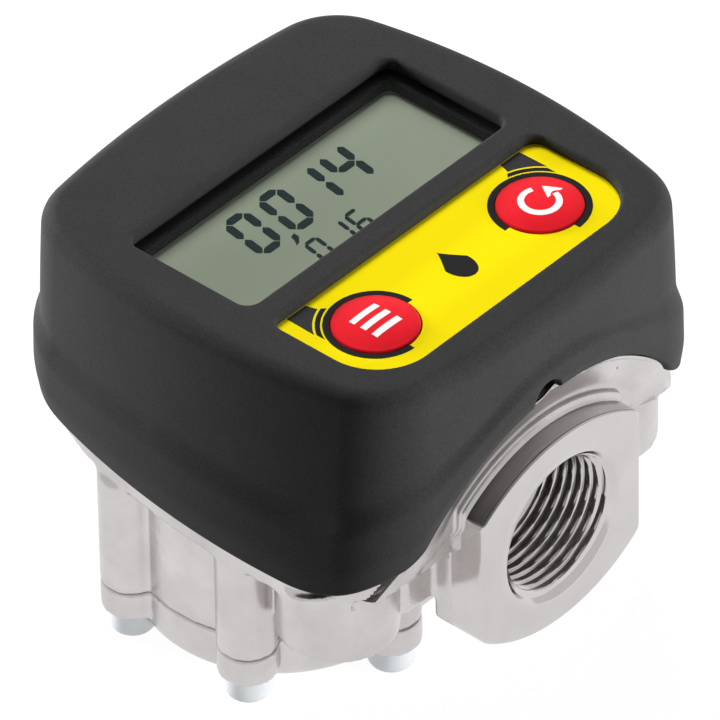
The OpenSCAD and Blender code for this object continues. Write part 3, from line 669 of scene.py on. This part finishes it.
def baked(piece, name):
    """The piece's mesh with its modifiers applied, as a new mesh."""
    seen = piece.evaluated_get(bpy.context.evaluated_depsgraph_get())
    mesh = bpy.data.meshes.new_from_object(seen)
    mesh.name = name
    return mesh


def soften(points, edges, share, rounds):
    """Moves each point towards the mean of its neighbours by its share, round after round, so edges and inner
    corners of the casting become fillets."""
    total, (start, stop) = len(points), edges.T
    count = np.maximum(np.bincount(edges.ravel(), minlength=total).astype(float), 1)
    for _ in range(rounds):
        mean = np.empty_like(points)
        for axis in (X, Y, Z):
            onward = np.bincount(start, points[stop, axis], total)
            backward = np.bincount(stop, points[start, axis], total)
            mean[:, axis] = (onward + backward) / count
        points += share[:, None] * (mean - points)
    return points


def clear_ports(points):
    """Draws the casting back under the separate port faces and arch walls: the plate's rim by a gap along
    the radius and its flat sides inwards, the face and the wall beside the plate back from the port's end,
    and the bore's wall outwards. Behind the boot's notch the casting is drawn in too, so the notch is
    dark."""
    bore_low, bore_high, bore_new, bore_depth = 14.2, 17.8, 17.9, 24.3
    plate_r, plate_depth, gap, flat, flat_old = 34, 8.9, 0.45, 24.2, 25.6
    apron_x, apron_r, apron_depth, wall_back = 24.95, 51, 8.4, 3.5
    notch_low, notch_high, notch_half, notch_back, face_back = 33.5, 44, 6, 10, 0.6
    depth = PORT_Y - np.abs(points[:, Y])
    x, z = points[:, X], points[:, Z] - AXIS_H
    wide, r = np.abs(x), np.hypot(x, z)
    bore = (depth < bore_depth) & (r > bore_low) & (r < bore_high)
    plate = (depth < plate_depth) & (r > bore_high) & (r < plate_r)
    flank = (depth < plate_depth) & (wide > flat) & (wide < flat_old) & (z > -24) & (r < plate_r + 2)
    grow = np.where(bore, bore_new / np.maximum(r, 1), np.where(plate, 1 - gap / np.maximum(r, 1), 1))
    grow = np.where(flank, flat / np.maximum(wide, 1), grow)
    x = x * grow
    points[:, X], points[:, Z] = x, z * grow + AXIS_H
    behind, arch = np.maximum(apron_depth, PORT_Y - plan_wall(x) + wall_back), np.hypot(x, z + PLATE_DROP)
    apron = (np.abs(x) > apron_x) & (arch < apron_r) & (z > 0.5) & (depth < behind)
    points[apron, Y] = np.sign(points[apron, Y]) * (PORT_Y - behind[apron])
    notch = (points[:, Y] < 0) & (np.abs(x - NOTCH_X) < notch_half) & (z > notch_low) & (z < notch_high)
    points[notch & (depth < notch_back), Y] = notch_back - PORT_Y
    front = depth < face_back
    points[front, Y] = np.sign(points[front, Y]) * (PORT_Y - face_back)
    return points


def open_chamber(points):
    """Sets the measuring chamber's wall back to its circles and a little outwards, and its roof a little up,
    so that the softened casting stays off the turning gears."""
    back, lift, boss_r = 0.5, 0.3, 6
    x, y, z = np.abs(points[:, X]) - CHAMBER_X, points[:, Y] - CHAMBER_Y, points[:, Z]
    r = np.hypot(x, y)
    wall = (r > CHAMBER_R - 1.6) & (r < CHAMBER_R + back) & (z > CHAMBER_LOW - 0.4) & (z < CHAMBER_TOP - 0.3)
    grow = np.where(wall, (CHAMBER_R + back) / np.maximum(r, 1), 1.0)
    roof = (r > boss_r) & (r < CHAMBER_R + 0.3) & (np.abs(z - CHAMBER_TOP) < lift)
    points[:, X] += np.sign(points[:, X]) * x * (grow - 1)
    points[:, Y] += y * (grow - 1)
    points[roof, Z] = CHAMBER_TOP + lift
    return points


def smoothing_share(points, ports):
    """How far a point moves in a round: half the way to its neighbours' mean, and not at all on the machined
    port faces and bores."""
    half = np.full(len(points), 0.5)
    if not ports:
        return half
    depth = PORT_Y - np.abs(points[:, Y])
    r = np.hypot(points[:, X], points[:, Z] - AXIS_H)
    off_face = np.where(r < 34, smooth_step(4.5, 7.5, depth), 1)
    off_bore = np.where(depth < 26, smooth_step(16.5, 18.5, r), 1)
    return half * off_face * off_bore


def soft_casting(node, name, material, sizes, ports):
    """Puts a copy with soft edges in a cast node's place: doubles merged, remeshed to small cubes' surface,
    smoothed away from the machined ports, then thinned."""
    most_faces = 185000
    mesh = frame["nodes"][node].data.copy()
    work = bmesh.new()
    work.from_mesh(mesh)
    bmesh.ops.remove_doubles(work, verts=work.verts, dist=1e-6)
    work.to_mesh(mesh)
    work.free()
    draft = bpy.data.objects.new(name + "_draft", mesh)
    bpy.context.scene.collection.objects.link(draft)
    remesh = draft.modifiers.new("cubes", "REMESH")
    remesh.mode, remesh.voxel_size, remesh.adaptivity = "VOXEL", sizes.cast_voxel, 0.0
    fine = baked(draft, name)
    points = np.empty(len(fine.vertices) * 3)
    fine.vertices.foreach_get("co", points)
    points = points.reshape(-1, 3) / MM
    edges = np.empty(len(fine.edges) * 2, np.int32)
    fine.edges.foreach_get("vertices", edges)
    points = soften(points, edges.reshape(-1, 2), smoothing_share(points, ports), sizes.cast_rounds)
    if ports:
        points = open_chamber(clear_ports(points))
    fine.vertices.foreach_set("co", (points * MM).ravel())
    fine.update()
    draft.modifiers.clear()
    draft.data = fine
    count = sum(len(p.vertices) - 2 for p in fine.polygons)
    thin = draft.modifiers.new("thin", "DECIMATE")
    thin.ratio = min(1.0, most_faces / count)
    done = baked(draft, name)
    bpy.data.objects.remove(draft)
    for old in (fine, mesh):
        bpy.data.meshes.remove(old)
    done.materials.clear()
    piece = add_object(name, done, material, "housing", 60)
    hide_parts(node)


class FLOWMETER_OT_castings(bpy.types.Operator):
    """Softens the body and the lid as die castings and gives them their nickel plate"""
    bl_idname = "flowmeter.castings"
    bl_label = "Body and lid"

    def execute(self, context):
        scene = context.scene
        sizes, finish = scene.flow_meter_sizes, cast_finish(scene.flow_meter_colours)
        soft_casting("meter_body", "body_casting", finish, sizes, True)
        soft_casting("bottom_lid", "lid_casting", finish, sizes, False)
        return {"FINISHED"}


# Ports

def port_grid(side, sizes):
    """A threaded port as a closed grid about its axis. Rows follow a profile of depth and radius: the plate's
    rim, whose radius along an angle is the smooth least of its flats and arcs, a rounded edge, the face, the
    mouth's chamfer, a thread whose radius swings between crest and root with depth over pitch minus angle
    over a turn, the plain bore and the hidden outside."""
    turns, pitch = sizes.columns, sizes.thread_pitch / MM
    t = np.linspace(0, 2 * np.pi, turns, endpoint=False)
    ux, uz = np.cos(t), np.sin(t)
    flat = PLATE_HALF / np.maximum(np.abs(ux), 1e-6)
    lift = PLATE_DROP * uz
    caps = [way * lift + np.sqrt(PLATE_R ** 2 - PLATE_DROP ** 2 + lift ** 2) for way in (-1, 1)]
    sharpness = 70.0
    plate = sum(v ** -sharpness for v in (flat, *caps)) ** (-1 / sharpness)
    crest, root, edge, face_r, stub_r = CREST_R, 16.62, 0.7, 17.6, 18.6

    def ring(radius, depth):
        radius = radius * np.ones(turns)
        y = side * (PORT_Y - depth)
        return np.stack([radius * ux, y * np.ones(turns), AXIS_H + radius * uz], 1)

    rows = [ring(plate, d) for d in (9.0, 5.3, 3.5, 1.8, edge)]
    for a in np.linspace(0, np.pi / 2, 5)[1:]:
        rows.append(ring(plate - edge * (1 - np.cos(a)), edge - edge * np.sin(a)))
    rows += [ring(plate - edge + (face_r - plate + edge) * v, 0) for v in (0.35, 0.7, 1)]
    rows += [ring(face_r - 0.15, 0.1), ring(root + 0.05, 0.95)]
    start, stop, rows_a_turn = 1.0, 19.6, 14
    for d in np.linspace(start, stop, int((stop - start) / pitch * rows_a_turn)):
        phase = d / pitch - side * t / (2 * np.pi)
        wave = np.clip(1.18 * np.abs(2 * (phase - np.floor(phase)) - 1) - 0.09, 0, 1)
        fade = 1 - smooth_step(stop - 2.2, stop, d)
        opening = 1 - smooth_step(start, start + 0.8, d)
        rows.append(ring(crest + (root - crest) * np.maximum(wave * fade, opening), d))
    for radius, depth in ((crest, 20.5), (crest, 24.4), (stub_r, 24.4), (stub_r, 12), (19.5, 9.4)):
        rows.append(ring(radius, depth))
    grid = np.array(rows)
    return grid, strip_faces(len(grid), turns, close_rows=True)


def plan_wall(x):
    """Distance of the castings' end wall from the middle at a place across: straight, then round the
    corner."""
    corner_x, out, corner_r = 33.1, 0.8, CORNER_R + 0.2
    into_corner = np.maximum(0, np.abs(x) - corner_x)
    return out + TOP_B - BOW_B + np.sqrt(np.maximum(0, corner_r ** 2 - into_corner ** 2)) - CORNER_R


def apron_grid(side):
    """The cast wall round a port as a closed grid. Columns are angles about the line under the port axis, out
    to a level foot. Rows follow a profile of radius, depth behind the port face and share that keeps to the
    plate's sides: out from under the plate's rim, over a rounded ledge, down a channel, up a slope to the lip
    at the boot's edge and back inside. Past the plate's corners the inner rows move in along its flat sides,
    and towards the foot the wall sinks into the casting. The front lip dips under the boot's notch."""
    ledge = [(37.6, 3.0, 1), (39.0, 3.4, 1), (39.42, 4.0, 1), (39.75, 4.5, 1), (40.1, 4.85, 1),
             (40.5, 5.1, 1), (40.85, 5.2, 1), (41.1, 5.4, 1)]
    channel = [(41.2, 5.8, 1), (41.2, 6.3, 1), (41.35, 6.75, 0.97), (41.8, 7.0, 0.9), (42.8, 6.95, 0.7)]
    slope = [(44.2, 6.5, 0.45), (45.8, 5.85, 0.2), (47.4, 5.1, 0), (48.5, 4.5, 0), (49.0, 4.0, 0)]
    lip = [(49.3, 3.4, 0), (49.55, 3.0, 0), (49.8, 2.8, 0), (50.05, 2.9, 0), (50.1, 3.4, 0)]
    inside = [(49.5, 4.6, 0), (48.4, 6.6, 0), (47.6, 9.5, 0), (37.6, 11.0, 1)]
    foot = 1.0 if side < 0 else 10.0
    half, sink_depth, dip = PLATE_HALF - 0.15, 7.5, 1.4
    share = np.linspace(-1, 1, 241)
    rows = []
    for r, depth, inward in ledge + channel + slope + lip + inside:
        reach = r
        for _ in range(2):
            t = share * np.arccos(np.clip((foot + PLATE_DROP) / reach, -1, 1))
            limit = half / np.maximum(np.abs(np.sin(t)), 1e-3)
            reach = r - inward * smooth_max(PLATE_R - limit, 0.0, 1.2)
        x, z = reach * np.sin(t), reach * np.cos(t) - PLATE_DROP
        sink = sink_depth * (1 - smooth_step(foot, foot + np.interp(r, (41, 49), (13, 3)), z))
        if side < 0:
            z = z - dip * np.exp(-((x - NOTCH_X) / 4.8) ** 4) * smooth_step(47.0, 49.4, r)
        back = smooth_max(depth, PORT_Y - plan_wall(x) + 0.5 * (depth - 2.4), 1.5) + sink
        rows.append(np.stack([x, side * (PORT_Y - back), AXIS_H + z], 1))
    grid = np.array(rows)
    n, m = grid.shape[:2]
    caps = [np.arange(n) * m, (np.arange(n) * m + m - 1)[::-1]]
    middle = [grid[:, 0].mean(0), grid[:, -1].mean(0)]
    faces = strip_faces(n, m, close_rows=True, close_cols=False).tolist()
    for k, cap in enumerate(caps):
        faces += np.stack([cap, np.roll(cap, -1), np.full(n, n * m + k)], 1).tolist()
    return np.concatenate([grid.reshape(-1, 3), middle]), faces


class FLOWMETER_OT_ports(bpy.types.Operator):
    """Builds the machined port faces with their helical threads, and the cast walls round them"""
    bl_idname = "flowmeter.ports"
    bl_label = "Threaded ports"

    def execute(self, context):
        scene = context.scene
        finish = turned_finish(scene.flow_meter_colours)
        for name, side in (("inlet_port_face", -1), ("outlet_port_face", 1)):
            make_piece(name, [port_grid(side, scene.flow_meter_sizes)], finish, sharp=34)
        cast = cast_finish(scene.flow_meter_colours)
        for name, side in (("inlet_arch_wall", -1), ("outlet_arch_wall", 1)):
            make_piece(name, [apron_grid(side)], cast, sharp=60)
        return {"FINISHED"}


# Display

SEGMENTS = {"0": "abcdef", "1": "bc", "4": "fgbc", "6": "acdefg"}


def digit(text, x, y, wide, high, stroke, low, slant=0.148):
    """One seven-segment digit with its lower left corner at (x, y): each segment a strip with pointed ends,
    leaned over by a share of its height."""
    half, gap = stroke / 2, stroke * 0.13
    left, right, bottom, top, mid = half, wide - half, half, high - half, high / 2
    ends = {"a": (left, top, right, top), "g": (left, mid, right, mid), "d": (left, bottom, right, bottom),
            "f": (left, mid, left, top), "b": (right, mid, right, top), "e": (left, bottom, left, mid),
            "c": (right, bottom, right, mid)}
    parts = []
    for name in SEGMENTS[text]:
        x0, y0, x1, y1 = ends[name]
        along = np.array([x1 - x0, y1 - y0]) / np.hypot(x1 - x0, y1 - y0)
        over = np.array([-along[1], along[0]])
        a, b = np.array([x0, y0]) + along * gap, np.array([x1, y1]) - along * gap
        point = along * (half - gap * 0.3)
        stations = np.array([a, a + point, b - point, b])
        tip, body = 0.12, half - gap * 0.2
        width = np.array([tip, body, body, tip])[:, None]
        sides = []
        for s in (1, -1):
            p = stations + over * width * s
            sides.append(np.column_stack([x + p[:, 0] + slant * p[:, 1], y + p[:, 1]]))
        parts.append(ribbon(*sides, low, low + SEGMENT_RISE))
    return parts


class FLOWMETER_OT_display(bpy.types.Operator):
    """Puts the digits on the display glass and finishes the glass and the pane"""
    bl_idname = "flowmeter.display"
    bl_label = "Display"

    def execute(self, context):
        scene = context.scene
        sizes, colours = scene.flow_meter_sizes, scene.flow_meter_colours
        wide, high, stroke = sizes.digit_w / MM, sizes.digit_h / MM, sizes.stroke / MM
        ink = plain_polymer("digit_finish", colours.digit, 0.5, gloss=0.05)
        low, parts = LCD_H + 0.01, []
        # Each row: digits, first one's left, pitch, gap after it, foot, digit's width and height, stroke
        large = "0014", -20.6, 9.4, 0.9, 6.6, wide, high, stroke
        small = "016", -13.4, 5.4, 1.6, -4.9, 4.3, 8.4, 1.05
        for text, first_x, pitch, gap, y, digit_w, digit_h, line in (large, small):
            for k, sign in enumerate(text):
                x = first_x + pitch * k + (gap if k else 0)
                parts += digit(sign, x, y, digit_w, digit_h, line, low)
        comma = np.array([[-11.6, 6.9], [-11.9, 5.8], [-12.7, 4.4], [-13.0, 4.1]])
        wedge = comma + [[1.3, 0.4], [1.5, 0], [1.0, 0.1], [0.15, 0.1]]
        parts.append(ribbon(comma, wedge, low, low + SEGMENT_RISE))
        make_piece("display_digits", parts, ink)
        dress("lcd_panel", lcd_finish(colours))
        dress("display_window", pane_finish())
        return {"FINISHED"}


# Buttons and keypad

def crown_height(r):
    """Height of a button's crown at a distance from its middle: a flat sphere cap on the rim."""
    ball = (BUTTON_R ** 2 + CAP_RISE ** 2) / (2 * CAP_RISE)
    return CAP_RIM_H + CAP_RISE - ball + np.sqrt(ball ** 2 - r ** 2)


def over_crown(middle_x, lift):
    """A height over a button's crown, as a function of a place."""
    def height(x, y):
        return crown_height(np.hypot(x - middle_x, y - BUTTON_Y)) + lift
    return height


def button_profile():
    """Radius and height of a button from its stem to its crown: flange under the face, skirt, rounded rim and
    cap."""
    stem_r, flange_r, axis_r = 1.8, 10.6, 0.02
    stem_h, flange_h, skirt_h, rim_h = 87.4, 89.9, 90.9, 93.3
    round_r, round_h = 0.7, 0.62
    r = np.linspace(BUTTON_R - round_r, axis_r, 22)
    crown = np.column_stack([r, crown_height(r)])
    a = np.linspace(0.1, 1.4, 7)
    rim_high = crown[0, 1] - round_h
    rim = np.column_stack([BUTTON_R - round_r + round_r * np.cos(a), rim_high + round_h * np.sin(a)])
    low = [(axis_r, stem_h), (stem_r, stem_h), (stem_r, flange_h), (flange_r, flange_h), (flange_r, skirt_h),
           (BUTTON_R, skirt_h), (BUTTON_R, rim_h)]
    return np.concatenate([low, rim, crown])


def bars_sign(x, y, low, high):
    """Three level bars about a button's middle."""
    half, thick, pitch = 3.9, 1.5, 3.1
    marks = []
    for mid in (y - pitch, y, y + pitch):
        marks.append(bar(x - half, x + half, mid - thick / 2, mid + thick / 2, low, high))
    return marks


def turn_sign(x, y, low, high):
    """A round arrow about a button's middle: a broken ring, and a triangle on its end."""
    outer, inner = [arc(x, y, r, 65, 350) for r in (4.7, 3.3)]
    foot_y, rise, v = y - 0.7, 3.6, np.linspace(0, 1, 9)[:, None]
    right = [x + 6.4, foot_y] + v * [-2.4, rise]
    left = [x + 1.6, foot_y] + v * [2.35, rise]
    return [ribbon(outer, inner, low, high), ribbon(right, left, low, high)]


class FLOWMETER_OT_buttons(bpy.types.Operator):
    """Builds the two domed buttons with a plain sign on each"""
    bl_idname = "flowmeter.buttons"
    bl_label = "Buttons"

    def execute(self, context):
        colours = context.scene.flow_meter_colours
        red = plain_polymer("button_finish", colours.button, 0.24, gloss=0.10)
        white = plain_polymer("button_sign_finish", (0.86, 0.86, 0.84), 0.4, gloss=0.1)
        for name, side, body, node, sign in (("total_cap", -1, "total_key", "total_button", bars_sign),
                                             ("reset_cap", 1, "reset_key", "reset_button", turn_sign)):
            x = side * BUTTON_X
            piece = make_piece(name, [lathe(button_profile(), x, BUTTON_Y)], red, body)
            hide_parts(node)
            marks = sign(x, BUTTON_Y, over_crown(x, -0.12), over_crown(x, 0.05))
            make_piece(name + "_sign", marks, white, body)
        return {"FINISHED"}


def side_arc(side, r, start, stop):
    """An arc about a button, with its angles mirrored for the left one."""
    ends = (start, stop) if side > 0 else (180 - start, 180 - stop)
    return arc(side * BUTTON_X, BUTTON_Y, r, *ends, 60)


def drop(x, y, half, high_y, low, high):
    """A drop that stands on (x, y): the lower half's width follows a circle, the upper half's runs to a
    point."""
    h = np.linspace(0, 1, 40)
    bowl = half * np.sqrt(np.maximum(0, 1 - (2.2 * h - 1) ** 2))
    tip = (half - 0.01) * np.maximum(0, 2 - 2 * h) ** 1.15
    wide, along = np.where(h < 0.5, bowl, tip), y + high_y * h
    return ribbon(np.column_stack([x - wide, along]), np.column_stack([x + wide, along]), low, high)


class FLOWMETER_OT_keypad(bpy.types.Operator):
    """Prints the keypad film: a broken ring round each button, bands and fields in the corners, and a drop"""
    bl_idname = "flowmeter.keypad"
    bl_label = "Keypad"

    def execute(self, context):
        colours = context.scene.flow_meter_colours
        ink = plain_polymer("print_finish", colours.ink, 0.4, gloss=0.1)
        grey = plain_polymer("print_grey_finish", (0.035, 0.035, 0.037), 0.45, gloss=0.1)
        low, high, dark, soft = LABEL_TOP - PRINT_SINK, LABEL_TOP + PRINT_RISE, [], []
        for side, ring in ((-1, (-2, 268)), (1, (-91, 180))):
            x = side * BUTTON_X
            outer, inner = [arc(x, BUTTON_Y, r, *ring, 110) for r in (10.95, 9.5)]
            dark.append(ribbon(outer, inner, low, high))
            # A black band, and a grey field from an arc outside it to the label's rear edge
            dark.append(ribbon(side_arc(side, 12.45, 33.5, 74), side_arc(side, 11.35, 24, 77), low, high))
            field_x, field_w, rear_y = BUTTON_X + 10.5, 5.7, -14.0
            rear = np.column_stack([side * np.linspace(field_x, field_x - field_w, 60), np.full(60, rear_y)])
            soft.append(ribbon(rear, side_arc(side, 12.95, 34.5, 72), low, high))
        dark.append(drop(0.0, -33.6, 3.4, 10.6, low, high))
        make_piece("keypad_print", dark, ink)
        make_piece("keypad_fields", soft, grey)
        dress("keypad_label", label_finish(colours))
        return {"FINISHED"}


# Finishes of the CAD nodes

def dress(node, material):
    """Gives a CAD node's own object a material in place of its packed one."""
    mesh = frame["nodes"][node].data
    mesh.materials.clear()
    mesh.materials.append(material)


class FLOWMETER_OT_finishes(bpy.types.Operator):
    """Gives the CAD parts that stay as they are their materials, apart from the display's and the keypad's"""
    bl_idname = "flowmeter.finishes"
    bl_label = "Finishes of the other parts"

    def execute(self, context):
        colours = context.scene.flow_meter_colours
        finishes = (
            (plain_metal("screw_zinc_finish", colours.zinc, 0.3, 900, 0.55), "lid_screws"),
            (plain_metal("pin_steel_finish", (0.55, 0.55, 0.56), 0.2),
             "left_gear_pin right_gear_pin gear_magnets case_screws cover_screws board_screws"),
            (plain_metal("bush_bronze_finish", (0.55, 0.33, 0.14), 0.35),
             "left_gear_bush right_gear_bush thrust_washers"),
            (plain_metal("contact_finish", (0.8, 0.58, 0.25), 0.25), "battery_contacts"),
            (plain_polymer("gear_finish", (0.05, 0.05, 0.055), 0.4), "left_oval_gear right_oval_gear"),
            (plain_polymer("seal_finish", (0.02, 0.02, 0.02), 0.6), "lid_seal case_gasket lcd_connectors"),
            (plain_polymer("case_finish", (0.015, 0.015, 0.016), 0.42, gloss=0.15),
             "electronics_case display_cover lcd_frame battery_holder sensor_stem key_switches"),
            (plain_polymer("board_finish", (0.01, 0.10, 0.03), 0.3, coat=0.4), "circuit_board"),
            (plain_polymer("cell_finish", (0.05, 0.12, 0.3), 0.25, coat=0.5), "battery_cells"),
            (plain_polymer("reed_finish", (0.3, 0.42, 0.4), 0.12, coat=0.8), "reed_sensor"),
        )
        for material, nodes in finishes:
            for node in nodes.split():
                dress(node, material)
        return {"FINISHED"}


# Stage

def area_lamp(name, place, aim, size, power):
    """A square soft lamp at a place that faces a point, in metres and watts, unseen in gloss."""
    data = bpy.data.lights.new(name, "AREA")
    data.shape, data.size, data.energy = "SQUARE", size, power
    lamp = bpy.data.objects.new(name, data)
    lamp.visible_glossy = False
    bpy.context.scene.collection.objects.link(lamp)
    lamp.location = place
    lamp.rotation_euler = (Vector(aim) - Vector(place)).to_track_quat("-Z", "Y").to_euler()


def place_camera():
    """The camera at the photograph's angle, from the front left and above, so far off that it is nearly
    parallel."""
    turn, climb, roll = np.radians([-47.8, 39.5, -1.0])
    shift_x, shift_y, distance = 0.691, 11.120, 2513.09
    back = np.array([np.sin(turn) * np.cos(climb), -np.cos(turn) * np.cos(climb), np.sin(climb)])
    right = np.array([np.cos(turn), np.sin(turn), 0])
    up = np.cross(back, right)
    right, up = np.cos(roll) * right + np.sin(roll) * up, np.cos(roll) * up - np.sin(roll) * right
    data = bpy.data.cameras.new("camera")
    data.sensor_width, data.lens, data.clip_start, data.clip_end = 36, 600, 0.1, 50
    camera = bpy.data.objects.new("camera", data)
    bpy.context.scene.collection.objects.link(camera)
    where = (shift_x * right + shift_y * up + distance * back) * MM + [0, 0, AXIS_H * MM]
    columns = np.array([[*right, 0], [*up, 0], [*back, 0], [*where, 1]])
    camera.matrix_world = Matrix(columns.T.tolist())
    bpy.context.scene.camera = camera


def white_for_eye(tree, plain, lit):
    """Strength of a background: lit for light, plain for what the camera, gloss and glass see."""
    path = tree.nodes.new("ShaderNodeLightPath")
    most = None
    for name in ("Is Camera Ray", "Is Glossy Ray", "Is Transmission Ray"):
        if most is None:
            most = path.outputs[name]
            continue
        node = tree.nodes.new("ShaderNodeMath")
        node.operation = "MAXIMUM"
        tree.links.new(most, node.inputs[0])
        tree.links.new(path.outputs[name], node.inputs[1])
        most = node.outputs[0]
    blend = tree.nodes.new("ShaderNodeMapRange")
    blend.inputs["To Min"].default_value, blend.inputs["To Max"].default_value = lit, plain
    tree.links.new(most, blend.inputs["Value"])
    return blend.outputs[0]


class FLOWMETER_OT_stage(bpy.types.Operator):
    """Sets the floor, the lamps, the world and the camera"""
    bl_idname = "flowmeter.stage"
    bl_label = "Stage"

    def execute(self, context):
        scene = context.scene
        scene.view_settings.view_transform = "Standard"
        place_camera()
        world = scene.world or bpy.data.worlds.new("studio")
        scene.world = world
        world.use_nodes = True
        tree = world.node_tree
        tree.nodes.clear()
        sky = tree.nodes.new("ShaderNodeBackground")
        tree.links.new(white_for_eye(tree, 1.0, 0.12), sky.inputs["Strength"])
        tree.links.new(sky.outputs[0], tree.nodes.new("ShaderNodeOutputWorld").inputs["Surface"])

        s, colour = Shader("floor_finish"), scene.flow_meter_colours.floor
        tint = s.mix(s.noise(6, 2), rgba(colour), rgba(colour, 0.97))
        diffuse = s.node("ShaderNodeBsdfDiffuse", {}, {"Color": (0.32, 0.32, 0.32, 1)})
        glow = s.node("ShaderNodeEmission", {}, {"Color": tint, "Strength": 1.46})
        seen = Value(s, white_for_eye(s.tree, 0.74, 0.0))
        s.finish(s.node("ShaderNodeMixShader", {}, (seen, diffuse, glow)))
        mesh, half = bpy.data.meshes.new("floor"), 3
        corners = [(-half, -half, 0), (half, -half, 0), (half, half, 0), (-half, half, 0)]
        mesh.from_pydata(corners, [], [(0, 1, 2, 3)])
        mesh.materials.append(s.material)
        floor = bpy.data.objects.new("floor", mesh)
        scene.collection.objects.link(floor)

        aim = (0, 0, 0.05)
        area_lamp("key_lamp", (0.44, 0.56, 0.95), aim, 0.5, 14)
        area_lamp("left_lamp", (-0.30, 1.22, 0.18), aim, 0.4, 52)
        area_lamp("right_lamp", (0.48, -1.16, 0.22), aim, 0.4, 27)
        return {"FINISHED"}


class FLOWMETER_PT_panel(bpy.types.Panel):
    """Lists the steps and their sizes and colours"""
    bl_label = "Flow meter"
    bl_space_type = "VIEW_3D"
    bl_region_type = "UI"
    bl_category = "Flow meter"

    def draw(self, context):
        for step in STEPS:
            self.layout.operator(step.bl_idname)
        for group in (context.scene.flow_meter_sizes, context.scene.flow_meter_colours):
            for name in group.bl_rna.properties.keys():
                if name not in ("rna_type", "name"):
                    self.layout.prop(group, name)


STEPS = (FLOWMETER_OT_stage, FLOWMETER_OT_finishes, FLOWMETER_OT_castings, FLOWMETER_OT_ports,
         FLOWMETER_OT_boot, FLOWMETER_OT_display, FLOWMETER_OT_keypad, FLOWMETER_OT_buttons)
CLASSES = (FlowMeterSizes, FlowMeterColours, *STEPS, FLOWMETER_PT_panel)


def register():
    for item in CLASSES:
        bpy.utils.register_class(item)
    bpy.types.Scene.flow_meter_sizes = PointerProperty(type=FlowMeterSizes)
    bpy.types.Scene.flow_meter_colours = PointerProperty(type=FlowMeterColours)


def unregister():
    del bpy.types.Scene.flow_meter_sizes, bpy.types.Scene.flow_meter_colours
    for item in reversed(CLASSES):
        bpy.utils.unregister_class(item)


def main():
    """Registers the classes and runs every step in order."""
    register()
    for step in STEPS:
        group, name = step.bl_idname.split(".")
        getattr(getattr(bpy.ops, group), name)()


if __name__ == "__main__":
    main()
